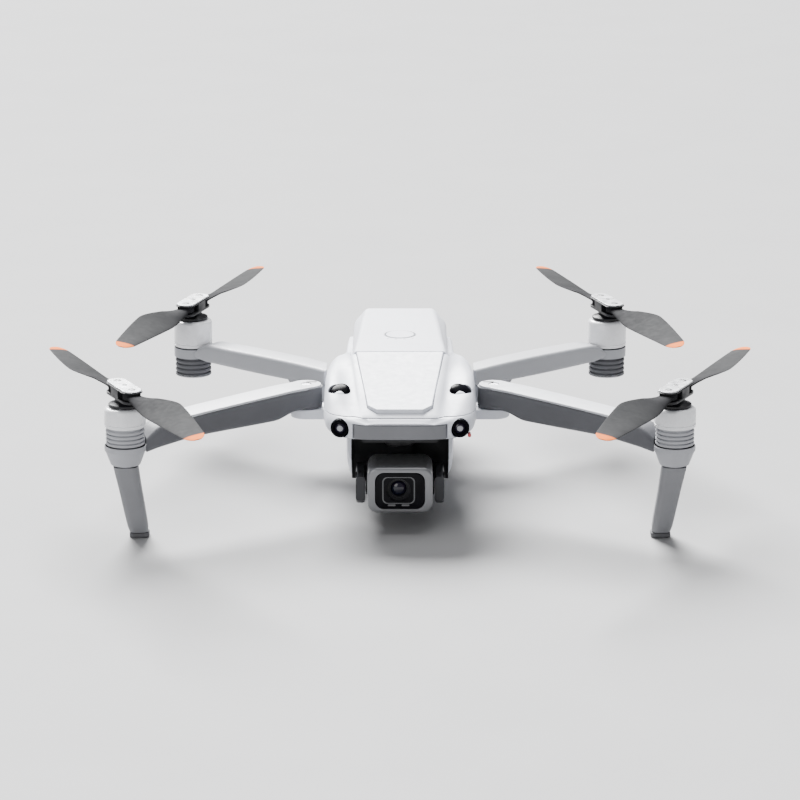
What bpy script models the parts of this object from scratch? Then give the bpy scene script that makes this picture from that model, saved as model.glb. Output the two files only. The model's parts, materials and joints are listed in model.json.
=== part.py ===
"""Folding camera quadcopter, modelled as the separate pieces it is made of.

Metres in the scene, millimetres in this script (see MM).  +Z up, the nose points to -Y, and the
origin is on the ground under the middle of the aircraft.  Left (-X) and right (+X) in the names
are as seen by someone facing the nose, so "left" is the aircraft's own right-hand side.
"""

import math

import bmesh
import bpy
from mathutils import Matrix, Vector

MM = 0.001
GAP = 0.3                      # clearance between neighbouring pieces
WALL = 2.2                     # casing wall
SIDES = {"left": -1, "right": 1}
UP = Vector((0, 0, 1))
# Pieces whose many shallow joins leave slivers that the exact solver can't close
SLIVER_PRONE = ("middle_frame", "front_arm", "rear_arm")

# Layout of the four rotors
FRONT_HUB = Vector((118.1, -89.6, 67.5))     # right-hand rotor centre at the blades' mid height
REAR_HUB = Vector((97.4, 82.6, 64.3))
ROTOR_RADIUS = 87.0
BLADE_PIVOT = 8.7                            # rotor centre to blade pivot
BLADE_STEPS = 9                              # stretches between a blade's sections
BLADE_START = 2.2                            # blade pivot to the blade's first section
# Blade directions at rest, in degrees from the tail (+Y) towards the aircraft's middle line
REST_ANGLES = {"front": (-24.5, 155.0), "rear": (19.0, -161.0)}

# Arms
FRONT_HINGE = Vector((41.5, -34.0, 46.5))    # foot of the upright front hinge pin
REAR_HINGE = Vector((41.0, 37.0, 31.0))      # centre of the rear knuckle
REAR_AXIS_ANGLE = 23.0                       # rear hinge axis, degrees forward of straight sideways
KNUCKLE_R = 9.0
KNUCKLE_HALF = 5.0
PIN_R = 2.1

# Motors
BELL_R = 9.0
BASE_R = 8.4
STATOR_R = 6.2
SHAFT_R = 1.2

# Body
CENTRE_SHIFT = 2.2             # the values below are measured from a point this far ahead of the origin
SPLIT_TOP = 51.4               # height of the joint between the middle frame and the top cover
SPLIT_BOTTOM = 20.0            # height of the joint between the middle frame and the bottom cover
BAY_HALF = 22.1                # battery bay, half width
BAY_FRONT = -12.7
BAY_FLOOR = 39.7
RECESS_HALF = 21.4             # gimbal recess, half width
RECESS_BACK = -37.0
RECESS_ROOF = 42.2

# Camera and gimbal
CAMERA = Vector((0, -67.0, 20.2))
CAMERA_SIZE = Vector((28.4, 24.0, 20.4))
YAW_Y = -50.0
ROLL_DISC_R = 8.0
YOKE_INNER = 15.2
YOKE_OUTER = 19.3

# Battery
BATTERY_TOP_FRONT = 65.9
BATTERY_TOP_REAR = 60.0
BATTERY_FRONT = -12.4
BATTERY_REAR = 100.0
BUTTON_Y = 27.0


# Outline of a blade's section, as shares of its chord and thickness, from its leading edge round
AEROFOIL = (
    (0.5, 0), (0.34, 0.34), (0, 0.5), (-0.3, 0.42), (-0.5, 0.0), (-0.3, -0.36), (0, -0.44), (0.34, -0.3),
)
# y, bottom and top of the gimbal yoke's side arms
YOKE_SIDE = ((-46.75, 16.2, 24.2), (-54.0, 13.4, 25.2), (-66.0, 11.4, 25.4), (-72.0, 13.0, 24.8))


# ---------------------------------------------------------------- general helpers

def clear_scene():
    for obj in list(bpy.data.objects):
        bpy.data.objects.remove(obj, do_unlink=True)


def material(name, colour, roughness, metallic=0.0):
    """A Principled material, made once for each name."""
    found = bpy.data.materials.get(name)
    if found:
        return found
    made = bpy.data.materials.new(name)
    made.use_nodes = True
    shader = made.node_tree.nodes["Principled BSDF"]
    shader.inputs["Base Color"].default_value = (*colour, 1.0)
    shader.inputs["Roughness"].default_value = roughness
    shader.inputs["Metallic"].default_value = metallic
    return made


def shell_plastic():
    return material("shell_plastic", (0.80, 0.81, 0.83), 0.45)


def arm_plastic():
    return material("arm_plastic", (0.42, 0.43, 0.46), 0.5)


def dark_plastic():
    return material("dark_plastic", (0.035, 0.036, 0.04), 0.5)


def blade_plastic():
    return material("blade_plastic", (0.23, 0.24, 0.25), 0.45)


def bright_metal():
    return material("bright_metal", (0.78, 0.79, 0.81), 0.3, 1.0)


def lens_black():
    return material("lens_black", (0.01, 0.01, 0.012), 0.08)


def foot_rubber():
    return material("foot_rubber", (0.12, 0.12, 0.13), 0.8)


def finish(name, bm, mat, smooth_angle=35.0):
    """Turns a bmesh in millimetres into a scene object in metres, faces pointing out."""
    bmesh.ops.recalc_face_normals(bm, faces=bm.faces)
    bmesh.ops.scale(bm, vec=(MM, MM, MM), verts=bm.verts)
    mesh = bpy.data.meshes.new(name)
    bm.to_mesh(mesh)
    bm.free()
    mesh.materials.append(mat)
    mesh.shade_smooth()
    mesh.set_sharp_from_angle(angle=math.radians(smooth_angle))
    obj = bpy.data.objects.new(name, mesh)
    bpy.context.scene.collection.objects.link(obj)
    return obj


def boolean(obj, tool, operation):
    """Cuts or joins with a hidden tool object, which is no piece of the aircraft."""
    tool.hide_render = True
    tool.display_type = "WIRE"
    modifier = obj.modifiers.new(tool.name, "BOOLEAN")
    modifier.object = tool
    modifier.operation = operation
    modifier.solver = "MANIFOLD" if obj.name.startswith(SLIVER_PRONE) else "EXACT"
    return obj


def cut(obj, *tools):
    for tool in tools:
        boolean(obj, tool, "DIFFERENCE")
    return obj


def join(obj, *tools):
    for tool in tools:
        boolean(obj, tool, "UNION")
    return obj


def pivot(name, place, pieces):
    """An empty on a joint's axis, parent of the pieces that turn or slide there."""
    empty = bpy.data.objects.new(name, None)
    empty.location = place * MM
    empty.empty_display_size = 0.01
    bpy.context.scene.collection.objects.link(empty)
    inverse = Matrix.Translation(-place * MM)
    for piece in pieces:
        piece.parent = empty
        piece.matrix_parent_inverse = inverse
    return empty


def place_right(point, side):
    """The point for one side, from its right-hand values."""
    return Vector((point.x * side, point.y, point.z))


# ---------------------------------------------------------------- shape helpers

def loft(name, rings, mat, smooth_angle=35.0):
    """A closed solid through rings of equal length, with a flat cap at each end."""
    bm = bmesh.new()
    rows = [[bm.verts.new(point) for point in ring] for ring in rings]
    count = len(rings[0])
    for low, high in zip(rows, rows[1:]):
        for i in range(count):
            j = (i + 1) % count
            bm.faces.new((low[i], low[j], high[j], high[i]))
    bm.faces.new(rows[0])
    bm.faces.new(rows[-1])
    return finish(name, bm, mat, smooth_angle)


def turned(name, profile, centre, axis, mat, segments=20):
    """A turned solid.  profile is (radius, height), from one point on the axis to another."""
    bm = bmesh.new()
    frame = axis.to_track_quat("Z", "Y")
    rows = []
    for radius, height in profile:
        if radius == 0:
            rows.append([bm.verts.new(centre + frame @ Vector((0, 0, height)))])
            continue
        row = []
        for i in range(segments):
            angle = math.tau * i / segments
            offset = Vector((radius * math.cos(angle), radius * math.sin(angle), height))
            row.append(bm.verts.new(centre + frame @ offset))
        rows.append(row)
    for low, high in zip(rows, rows[1:]):
        for i in range(segments):
            j = (i + 1) % segments
            if len(low) == 1:
                bm.faces.new((low[0], high[j], high[i]))
            elif len(high) == 1:
                bm.faces.new((low[i], low[j], high[0]))
            else:
                bm.faces.new((low[i], low[j], high[j], high[i]))
    return finish(name, bm, mat)


def rod(name, start, end, radius, mat, segments=16):
    length = (end - start).length
    profile = ((0, 0), (radius, 0), (radius, length), (0, length))
    return turned(name, profile, start, (end - start).normalized(), mat, segments)


def box(name, low, high, mat, bevel=0.0):
    bm = bmesh.new()
    bmesh.ops.create_cube(bm, size=1.0)
    low, high = Vector(low), Vector(high)
    bmesh.ops.scale(bm, vec=high - low, verts=bm.verts)
    bmesh.ops.translate(bm, vec=(low + high) / 2, verts=bm.verts)
    if bevel:
        bmesh.ops.bevel(bm, geom=bm.edges[:], offset=bevel, segments=2, affect="EDGES")
    return finish(name, bm, mat)


def rounded_ring(centre, u, v, half_u, half_v, radius, steps=2):
    """A rounded rectangle about centre, in the plane of the unit vectors u and v."""
    ring = []
    corners = ((1, 1, 0), (-1, 1, 90), (-1, -1, 180), (1, -1, 270))
    for su, sv, start in corners:
        for i in range(steps + 1):
            angle = math.radians(start + 90 * i / steps)
            du = su * (half_u - radius) + radius * math.cos(angle)
            dv = sv * (half_v - radius) + radius * math.sin(angle)
            ring.append(centre + u * du + v * dv)
    return ring


def corner_cut(points):
    """One round of corner cutting, which rounds a closed outline."""
    out = []
    for i, point in enumerate(points):
        after = points[(i + 1) % len(points)]
        out.append(point.lerp(after, 0.2))
        out.append(point.lerp(after, 0.8))
    return out


def both_halves(y, half):
    """A closed outline across the body at y, from its right half, bottom to top."""
    right = [Vector((x, y, z)) for x, z in half]
    left = [Vector((-x, y, z)) for x, z in reversed(half)]
    return corner_cut(right + left)


def plate(name, outline, z_low, z_high, mat):
    """An outline in plan, extruded upward."""
    rings = [[Vector((x, y, z)) for x, y in outline] for z in (z_low, z_high)]
    return loft(name, rings, mat)


# ---------------------------------------------------------------- body

# y, then half width and height of: the underside, the side's low and high ends, shoulder, top
HULL = (
    (-78.0, (14.0, 42.4), (19.0, 43.6), (19.0, 47.5), (17.0, 49.2), (12.0, 50.0)),
    (-74.0, (22.0, 41.9), (28.0, 43.8), (28.0, 49.5), (24.0, 52.0), (15.0, 53.5)),
    (-66.0, (25.0, 41.6), (33.0, 44.0), (33.0, 51.5), (27.0, 54.6), (16.0, 56.0)),
    (-50.0, (25.0, 40.5), (33.6, 43.0), (33.6, 53.5), (28.5, 57.2), (17.5, 59.0)),
    (-13.0, (25.0, 36.0), (33.6, 40.0), (33.6, 53.5), (28.0, 60.5), (20.5, 65.6)),
    (10.0, (25.0, 32.0), (31.6, 36.0), (31.6, 51.0), (27.0, 57.0), (24.6, 59.5)),
    (30.0, (24.5, 28.0), (28.5, 33.0), (28.5, 45.0), (26.0, 48.8), (24.5, 49.5)),
    (60.0, (23.5, 26.0), (25.8, 30.0), (25.8, 43.0), (25.2, 46.6), (24.4, 47.6)),
    (96.0, (21.5, 26.0), (24.4, 30.0), (24.4, 42.0), (24.2, 45.0), (23.6, 46.0)),
    (101.0, (19.0, 28.0), (22.6, 31.0), (22.6, 40.0), (22.5, 42.0), (22.0, 43.0)),
)
# y, then half width and height of: the underside, the side's low end, the side's top
KEEL = (
    (-57.0, (21.4, 27.0), (23.2, 30.0), (23.2, 46.0)),
    (-48.0, (20.9, 19.0), (23.6, 24.0), (23.8, 45.0)),
    (-36.0, (18.0, 12.6), (23.0, 17.0), (24.0, 45.0)),
    (20.0, (19.0, 12.0), (24.0, 17.0), (25.0, 38.0)),
    (70.0, (17.0, 12.0), (22.5, 17.0), (23.5, 36.0)),
    (95.0, (14.0, 15.0), (19.5, 21.0), (21.0, 36.0)),
    (102.0, (11.0, 23.0), (15.0, 26.0), (17.0, 34.0)),
)


def hull_solid(name, mat):
    return loft(name, [both_halves(y, half) for y, *half in HULL], mat)


def keel_solid(name, mat):
    return loft(name, [both_halves(y, half) for y, *half in KEEL], mat)


def inset_half(half):
    """One section moved in by the wall, its underside up and its top down."""
    middle = sum(z for _, z in half) / len(half)
    return [(x - WALL, z + WALL if z < middle else z - WALL) for x, z in half]


def between(sections, y):
    """The section at y, between the two listed on either side of it."""
    for (y0, *low), (y1, *high) in zip(sections, sections[1:]):
        if y0 <= y <= y1:
            t = (y - y0) / (y1 - y0)
            return [(a[0] + (b[0] - a[0]) * t, a[1] + (b[1] - a[1]) * t) for a, b in zip(low, high)]
    raise ValueError(f"no section at {y}")


def front_cavity(name):
    """The space under the top cover, ahead of the battery bay."""
    rings = [both_halves(y, inset_half(between(HULL, y))) for y in (-70.0, -66.0, -50.0, -15.2)]
    return loft(name, rings, shell_plastic())


def belly_cavity(name):
    """The space for the electronics, under the battery bay's floor."""
    rings = []
    for y in (-34.3, 20.0, 70.0, 94.0, 97.0):
        (bx, bz), (sx, sz), (tx, _) = between(KEEL, y)
        half = ((bx - WALL, bz + WALL), (sx - WALL, sz + WALL / 2), (tx - WALL, BAY_FLOOR - WALL))
        rings.append(both_halves(y, half))
    return loft(name, rings, shell_plastic())


def battery_bay(name):
    return box(name, (-BAY_HALF, BAY_FRONT, BAY_FLOOR), (BAY_HALF, 120, 90), shell_plastic())


def gimbal_recess(name):
    return box(name, (-RECESS_HALF, -95, -5), (RECESS_HALF, RECESS_BACK, RECESS_ROOF), shell_plastic())


def panel_outline(y, grow):
    """One section of the sloping hexagonal panel on the nose, grown on all sides for its seat."""
    t = (y + 72.0) / 58.6
    half, top = 13.6 + 5.9 * t, 54.6 + 11.6 * t
    low = top - 2.6
    points = ((half + grow, low - grow), (half + grow, top - 0.9), (half - 1.2 + grow, top + grow))
    return [Vector((x, y, z)) for x, z in points] + [Vector((-x, y, z)) for x, z in reversed(points)]


def nose_panel():
    rings = [panel_outline(y, 0.0) for y in (-71.6, -44.0, -13.4)]
    return loft("nose_panel", rings, shell_plastic())


def panel_seat(name):
    rings = [panel_outline(y, GAP) for y in (-72.0, -44.0, -13.0, -12.0)]
    return loft(name, rings, shell_plastic())


def band_outline(grow):
    """Plan of the grey band round the nose: an arc in front, a parallel arc behind."""
    steps = 12
    front, back = [], []
    for i in range(steps + 1):
        x = -19.0 - grow + (38.0 + 2 * grow) * i / steps
        bow = 5.0 * (x / 19.0) ** 2
        front.append((x, -78.6 - grow + bow))
        back.append((x, -76.6 + grow + bow))
    return front + back[::-1]


def nose_band():
    return plate("nose_band", band_outline(0.0), 43.6, 48.8, material("nose_grey", (0.36, 0.37, 0.4), 0.5))


def sensor_places():
    """Centre, direction and radius of each round vision sensor, right-hand side."""
    return {
        "forward_sensor": (Vector((26.0, -72.6, 46.5)), Vector((0.12, -1, 0)), 3.7, 2.4),
        "upward_sensor": (Vector((26.4, -47.0, 56.9)), Vector((0.25, -0.45, 1)), 4.3, 2.2),
    }


def sensor(name, side, grow=0.0):
    """One sensor window: a short turned plug with a domed front."""
    centre, direction, radius, depth = sensor_places()[name]
    direction = place_right(direction, side).normalized()
    outer = radius + grow
    if grow:
        profile = ((0, -depth - grow), (outer, -depth - grow), (outer, 9), (0, 9))
    else:
        profile = ((0, -depth), (outer, -depth), (outer, 1.0), (outer - 0.8, 1.4), (0, 1.8))
    suffix = "left" if side < 0 else "right"
    label = f"{name}_pocket_{suffix}" if grow else f"{name}_{suffix}"
    return turned(label, profile, place_right(centre, side), direction, lens_black(), 20)


def rear_window(name, grow):
    """Window of the two rearward vision sensors, and with grow the seat that it fits."""
    low, high = (-13 - grow, 100.7 - grow, 28 - grow), (13 + grow, 102.3 + 20 * grow, 33 + grow)
    return box(name, low, high, lens_black(), 0 if grow else 0.3)


def rear_axis(side):
    """Direction of a rear arm's hinge axis, pointing out of the body."""
    angle = math.radians(REAR_AXIS_ANGLE)
    return Vector((side * math.cos(angle), -math.sin(angle), 0))


def hinge_lug(name, side):
    """Shelf under the root of a front arm, round at its outer end."""
    outline = [(31.0, FRONT_HINGE.y - 7.0), (FRONT_HINGE.x, FRONT_HINGE.y - 7.0)]
    for i in range(1, 12):
        angle = math.radians(-90 + 15 * i)
        x = FRONT_HINGE.x + 7.0 * math.cos(angle)
        outline.append((x, FRONT_HINGE.y + 7.0 * math.sin(angle)))
    outline += [(FRONT_HINGE.x, FRONT_HINGE.y + 7.0), (31.0, FRONT_HINGE.y + 7.0)]
    outline = [(x * side, y) for x, y in outline]
    return plate(name, outline, 41.7, FRONT_HINGE.z - GAP, shell_plastic())


def rear_boss(name, side):
    """Boss that carries a rear arm's hinge pin."""
    axis = rear_axis(side)
    centre = place_right(REAR_HINGE, side)
    start, end = centre - axis * 16.5, centre - axis * (KNUCKLE_HALF + GAP)
    return rod(name, start, end, KNUCKLE_R - 1.0, shell_plastic(), 24)


def front_pin_hole(name, side, radius):
    place = place_right(FRONT_HINGE, side)
    return rod(name, place - UP * 4.0, place + UP * 20, radius, shell_plastic())


def rear_pin_hole(name, side, radius):
    axis = rear_axis(side)
    centre = place_right(REAR_HINGE, side)
    return rod(name, centre - axis * 13.3, centre + axis * 12, radius, shell_plastic())


def port_box(name, grow):
    """The port cover on the right of the tail, and with grow the pocket that it closes."""
    low, high = (23.3 - grow, 76.0 - grow, 31.5 - grow), (25.1 + 8 * grow, 88.0 + grow, 38.5 + grow)
    return box(name, low, high, shell_plastic())


def middle_frame():
    frame = hull_solid("middle_frame", shell_plastic())
    join(frame, keel_solid("middle_keel", shell_plastic()))
    cut(frame, front_cavity("middle_front_cavity"), belly_cavity("middle_belly_cavity"))
    for suffix, side in SIDES.items():
        join(frame, hinge_lug(f"lug_{suffix}", side), rear_boss(f"boss_{suffix}", side))
    cut(frame, battery_bay("middle_bay"), gimbal_recess("middle_recess"))
    cut(frame, box("middle_above", (-60, -100, SPLIT_TOP - GAP / 2), (60, 120, 99), shell_plastic()))
    cut(frame, box("middle_below", (-60, -36.0, -9), (60, 120, SPLIT_BOTTOM + GAP / 2), shell_plastic()))
    cut(frame, plate("band_seat", band_outline(GAP), 43.3, 49.1, shell_plastic()))
    for suffix, side in SIDES.items():
        cut(frame, sensor("forward_sensor", side, GAP))
        cut(frame, front_pin_hole(f"front_hole_{suffix}", side, PIN_R + GAP))
        cut(frame, rear_pin_hole(f"rear_hole_{suffix}", side, PIN_R + GAP))
    cut(frame, port_box("port_pocket", GAP), rear_window("rear_window_seat", GAP))
    cut(frame, light_rod("light_seat", 8.0, 1.1))
    return frame


def bottom_cover():
    cover = keel_solid("bottom_cover", shell_plastic())
    cut(cover, belly_cavity("bottom_cavity"))
    cut(cover, box("bottom_above", (-60, -100, SPLIT_BOTTOM - GAP / 2), (60, 120, 99), shell_plastic()))
    cut(cover, box("bottom_front", (-60, -100, -9), (60, -35.7, 99), shell_plastic()))
    cut(cover, box("downward_seat", (-12.3, -18.3, 5), (12.3, 12.3, 13.2), shell_plastic()))
    return cover


def top_cover():
    cover = hull_solid("top_cover", shell_plastic())
    cut(cover, front_cavity("top_front_cavity"), battery_bay("top_bay"))
    cut(cover, box("top_below", (-60, -100, 0), (60, 120, SPLIT_TOP + GAP / 2), shell_plastic()))
    cut(cover, panel_seat("panel_seat"))
    for side in SIDES.values():
        cut(cover, sensor("upward_sensor", side, GAP))
    return cover


def downward_sensor():
    block = box("downward_sensor", (-12, -18, 11.2), (12, 12, 12.9), dark_plastic(), 0.4)
    for x in (-6.5, 6.5):
        eye = Vector((x, -9.0, 11.2))
        cut(block, rod(f"eye_{x}", eye - UP, eye + UP * 0.6, 3.0, dark_plastic()))
    return block


def rear_foot(suffix, side):
    """Rubber foot under the tail, which the aircraft stands on behind its front legs."""
    rings = []
    for z, half_x, half_y in ((0.0, 2.6, 4.2), (1.2, 3.1, 4.8), (11.7, 4.6, 8.0)):
        centre = Vector((side * (10.0 - 0.1 * z), 74.0 - 0.25 * z, z))
        rings.append(rounded_ring(centre, Vector((1, 0, 0)), Vector((0, 1, 0)), half_x, half_y, 2.0))
    return loft(f"rear_foot_{suffix}", rings, foot_rubber())


def light_rod(name, reach, radius):
    """Rod along the lower front corner; with reach it runs on forward, for the light's seat."""
    start, end = Vector((30.2, -71.6 - reach, 42.9)), Vector((30.2, -68.0 + reach / 40, 42.9))
    return rod(name, start, end, radius, material("red_light", (0.8, 0.03, 0.05), 0.3), 12)


def status_light():
    return light_rod("status_light", 0.0, 0.8)


def port_cover():
    cover = port_box("port_cover", 0.0)
    pivot("port_cover_hinge", Vector((24.9, 82.0, 31.7)), [cover])
    return cover


def main_board():
    return box("main_board", (-16.5, -28, 22.6), (16.5, 90, 24.2), material("board", (0.02, 0.16, 0.07), 0.5))


def heat_sink():
    """Finned plate on the board, seen from the front as a comb."""
    outline, fins, pitch = [(-14.0, 24.6), (14.0, 24.6)], 7, 4.2
    for i in range(fins):
        right = 14.0 - i * pitch
        outline += [(right, 33.0), (right - 1.4, 33.0)]
        if i < fins - 1:
            outline += [(right - 1.4, 27.0), (right - pitch, 27.0)]
    outline[-1] = (-14.0, 33.0)
    rings = [[Vector((x, y, z)) for x, z in outline] for y in (0.0, 52.0)]
    return loft("heat_sink", rings, material("sink_metal", (0.6, 0.6, 0.62), 0.35, 1.0))


def cooling_fan():
    """Radial fan wheel on an upright spindle, between the board and the battery."""
    vanes, outline = 9, []
    for i in range(vanes):
        for turn, radius in ((0.0, 4.0), (0.18, 9.6), (0.34, 9.9), (0.5, 4.2)):
            angle = math.tau * (i + turn) / vanes
            outline.append((radius * math.cos(angle), -18.0 + radius * math.sin(angle)))
    fan = plate("cooling_fan", outline, 26.0, 33.0, dark_plastic())
    pivot("fan_spindle", Vector((0, -18.0, 29.5)), [fan])
    return fan


# ---------------------------------------------------------------- hinge pins, arms and legs

def front_hinge_pin(suffix, side):
    place = place_right(FRONT_HINGE, side)
    return rod(f"front_hinge_pin_{suffix}", place - UP * 3.6, place + UP * 9.7, PIN_R, bright_metal())


def rear_hinge_pin(suffix, side):
    axis = rear_axis(side)
    centre = place_right(REAR_HINGE, side)
    return rod(f"rear_hinge_pin_{suffix}", centre - axis * 13.0, centre + axis * 5.0, PIN_R, bright_metal())


def front_arm(suffix, side):
    """Front arm: a tapering beam from the upright hinge to the pod under its motor."""
    hinge = place_right(FRONT_HINGE, side)
    hub = place_right(FRONT_HUB, side)
    along = Vector((hub.x - hinge.x, hub.y - hinge.y, 0))
    length = along.length
    along.normalize()
    across = along.cross(UP)
    rings = []
    # share of the length, bottom, top, half width
    stations = (
        (0.0, 46.5, 56.5, 7.2), (0.10, 46.3, 56.4, 7.25), (0.22, 43.6, 56.0, 7.3),
        (0.62, 43.3, 54.0, 7.0), (0.84, 41.3, 53.2, 6.6), (0.97, 39.5, 43.6, 6.2),
    )
    for share, low, high, half in stations:
        centre = Vector((hinge.x, hinge.y, (low + high) / 2)) + along * (length * share)
        rings.append(rounded_ring(centre, across, UP, half, (high - low) / 2, 2.0))
    arm = loft(f"front_arm_{suffix}", rings, arm_plastic())
    root = rod(f"front_root_{suffix}", hinge + UP * 0.2, hinge + UP * 9.8, 7.24, arm_plastic(), 20)
    pod_profile = ((0, 35.0), (6.2, 35.0), (7.6, 38.0), (8.9, 42.0), (8.9, 44.0), (0, 44.0))
    pod = turned(f"front_pod_{suffix}", pod_profile, Vector((hub.x, hub.y, 0)), UP, arm_plastic(), 20)
    join(arm, root, pod)
    clear = rod(f"front_stack_{suffix}", Vector((hub.x, hub.y, 43.95)), Vector((hub.x, hub.y, 60)),
                BELL_R + 0.8, arm_plastic(), 20)
    cut(arm, front_pin_hole(f"arm_hole_{suffix}", side, PIN_R + GAP), clear)
    return arm


def landing_leg(suffix, side):
    """Leg under a front motor, leaning in and back towards its foot."""
    top = place_right(Vector((FRONT_HUB.x, FRONT_HUB.y, 34.7)), side)
    foot = place_right(Vector((113.5, -79.5, 2.3)), side)
    rings = []
    for share, half_x, half_y in ((0.0, 5.6, 6.0), (0.3, 5.2, 5.2), (1.0, 4.5, 4.2)):
        centre = top.lerp(foot, share)
        rings.append(rounded_ring(centre, Vector((1, 0, 0)), Vector((0, 1, 0)), half_x, half_y, 2.4))
    return loft(f"landing_leg_{suffix}", rings, arm_plastic())


def foot_pad(suffix, side):
    centre = place_right(Vector((113.3, -79.0, 0.0)), side)
    rings = []
    for z, half in ((0.0, 3.6), (0.5, 4.2), (2.0, 4.3)):
        rings.append(rounded_ring(centre + UP * z, Vector((1, 0, 0)), Vector((0, 1, 0)), half, half, 2.2))
    return loft(f"foot_pad_{suffix}", rings, foot_rubber())


def rear_arm(suffix, side):
    """Rear arm: a knuckle about the skewed hinge, a rising neck and a straight beam."""
    hinge = place_right(REAR_HINGE, side)
    hub = place_right(REAR_HUB, side)
    axis = rear_axis(side)
    along = Vector((hub.x - hinge.x, hub.y - hinge.y, 0))
    length = along.length
    along.normalize()
    across = along.cross(UP)
    rings = []
    # distance along the arm, bottom, top, half width
    stations = (
        (3.0, 25.5, 37.5, 5.2), (8.0, 29.5, 43.0, 6.2), (14.0, 35.5, 47.0, 6.8),
        (22.0, 39.2, 48.6, 6.8), (length - 14, 39.6, 48.2, 6.6), (length - 3, 40.6, 44.4, 6.4),
    )
    for distance, low, high, half in stations:
        centre = Vector((hinge.x, hinge.y, (low + high) / 2)) + along * distance
        rings.append(rounded_ring(centre, across, UP, half, (high - low) / 2, 2.0))
    arm = loft(f"rear_arm_{suffix}", rings, arm_plastic())
    knuckle = rod(f"knuckle_{suffix}", hinge - axis * KNUCKLE_HALF, hinge + axis * KNUCKLE_HALF,
                  KNUCKLE_R, arm_plastic(), 20)
    floor = Vector((hub.x, hub.y, 0))
    pod = rod(f"rear_pod_{suffix}", floor + UP * 40.0, floor + UP * 44.7, 9.0, arm_plastic(), 20)
    join(arm, knuckle, pod)
    clear = rod(f"rear_stack_{suffix}", floor + UP * 44.65, floor + UP * 60, BELL_R + 0.8, arm_plastic(), 20)
    seat = rod(f"rear_seat_{suffix}", floor + UP * 30, floor + UP * 60, 7.0 + GAP, arm_plastic(), 20)
    lower = rod(f"rear_under_{suffix}", floor + UP * 30, floor + UP * 40.05, 9.3, arm_plastic(), 20)
    cut(arm, rear_pin_hole(f"knuckle_hole_{suffix}", side, PIN_R + GAP), clear, seat, lower)
    return arm


# ---------------------------------------------------------------- motors and propellers

def ribs(bottom, top, count, outer, inner):
    """Turned profile of a stack of cooling ribs between two heights."""
    pitch = (top - bottom) / count
    points = []
    for i in range(count):
        z = bottom + i * pitch
        points += [(outer, z), (outer, z + pitch * 0.62), (inner, z + pitch * 0.62), (inner, z + pitch)]
    return points


def front_motor_base(suffix, side):
    hub = place_right(FRONT_HUB, side)
    profile = [(0, 44.3)] + ribs(44.3, 51.6, 3, BASE_R, BASE_R - 0.8) + [(STATOR_R, 51.6), (STATOR_R, 58.8)]
    profile += [(SHAFT_R + GAP, 58.8), (SHAFT_R + GAP, 47.0), (0, 47.0)]
    return turned(f"front_motor_base_{suffix}", profile, Vector((hub.x, hub.y, 0)), UP, arm_plastic())


def rear_motor_base(suffix, side):
    hub = place_right(REAR_HUB, side)
    profile = [(0, 31.0)] + ribs(31.0, 39.7, 3, BASE_R, BASE_R - 0.8) + [(7.0, 39.7), (7.0, 44.9)]
    profile += [(STATOR_R, 44.9), (STATOR_R, 53.0), (SHAFT_R + GAP, 53.0), (SHAFT_R + GAP, 42.0), (0, 42.0)]
    return turned(f"rear_motor_base_{suffix}", profile, Vector((hub.x, hub.y, 0)), UP, arm_plastic())


def motor_bell(end, suffix, hub, low, high):
    """Spinning outer can of a motor, with its shaft hanging inside it."""
    roof = high - 1.6
    profile = [(0, low + 1.0), (SHAFT_R, low + 1.0), (SHAFT_R, roof), (BELL_R - 1.4, roof)]
    profile += [(BELL_R - 1.4, low), (BELL_R, low), (BELL_R, high - 1.0), (BELL_R - 1.0, high), (0, high)]
    name = f"{end}_motor_bell_{suffix}"
    return turned(name, profile, Vector((hub.x, hub.y, 0)), UP, bright_metal())


def bar_outline(half_length, half_width):
    """Plan of a bar with round ends, along X."""
    outline = []
    for start, middle in ((-90, half_length - half_width), (90, half_width - half_length)):
        for i in range(7):
            angle = math.radians(start + 30 * i)
            outline.append((middle + half_width * math.cos(angle), half_width * math.sin(angle)))
    return outline


def rotor_frame(hub, end, side):
    """Matrix that takes +X to the rotor's first blade direction, about the hub."""
    toward_middle = math.radians(REST_ANGLES[end][0])
    direction = math.atan2(math.cos(toward_middle), -side * math.sin(toward_middle))
    return Matrix.Translation(hub) @ Matrix.Rotation(direction, 4, "Z")


def move(obj, matrix):
    """Applies a matrix given in millimetres to an object's mesh."""
    scaled = matrix.copy()
    scaled.translation = matrix.translation * MM
    obj.data.transform(scaled)
    return obj


def prop_hub(end, suffix, side, hub):
    """Propeller clamp: a disc on the motor, a neck, and a bar with a fork at each end."""
    frame = rotor_frame(hub, end, side)
    name = f"{end}_prop_hub_{suffix}"
    bar = move(plate(name, bar_outline(13.4, 4.7), -2.9, 2.9, dark_plastic()), frame)
    neck_profile = ((0, -6.4), (7.0, -6.4), (7.0, -5.0), (4.3, -4.4), (4.3, -2.5), (0, -2.5))
    neck = turned(f"{name}_neck", neck_profile, hub, UP, dark_plastic())
    join(bar, neck)
    for sign in (-1, 1):
        slot = box(f"{name}_slot_{sign}", (4.2, -9, -1.75), (15, 9, 1.75), dark_plastic())
        pin = rod(f"{name}_pin_{sign}", Vector((BLADE_PIVOT, 0, -2.4)), Vector((BLADE_PIVOT, 0, 2.4)),
                  1.2, dark_plastic(), 8)
        turn = frame if sign > 0 else frame @ Matrix.Rotation(math.pi, 4, "Z")
        cut(bar, move(slot, turn))
        join(bar, move(pin, turn))
    return bar


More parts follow.
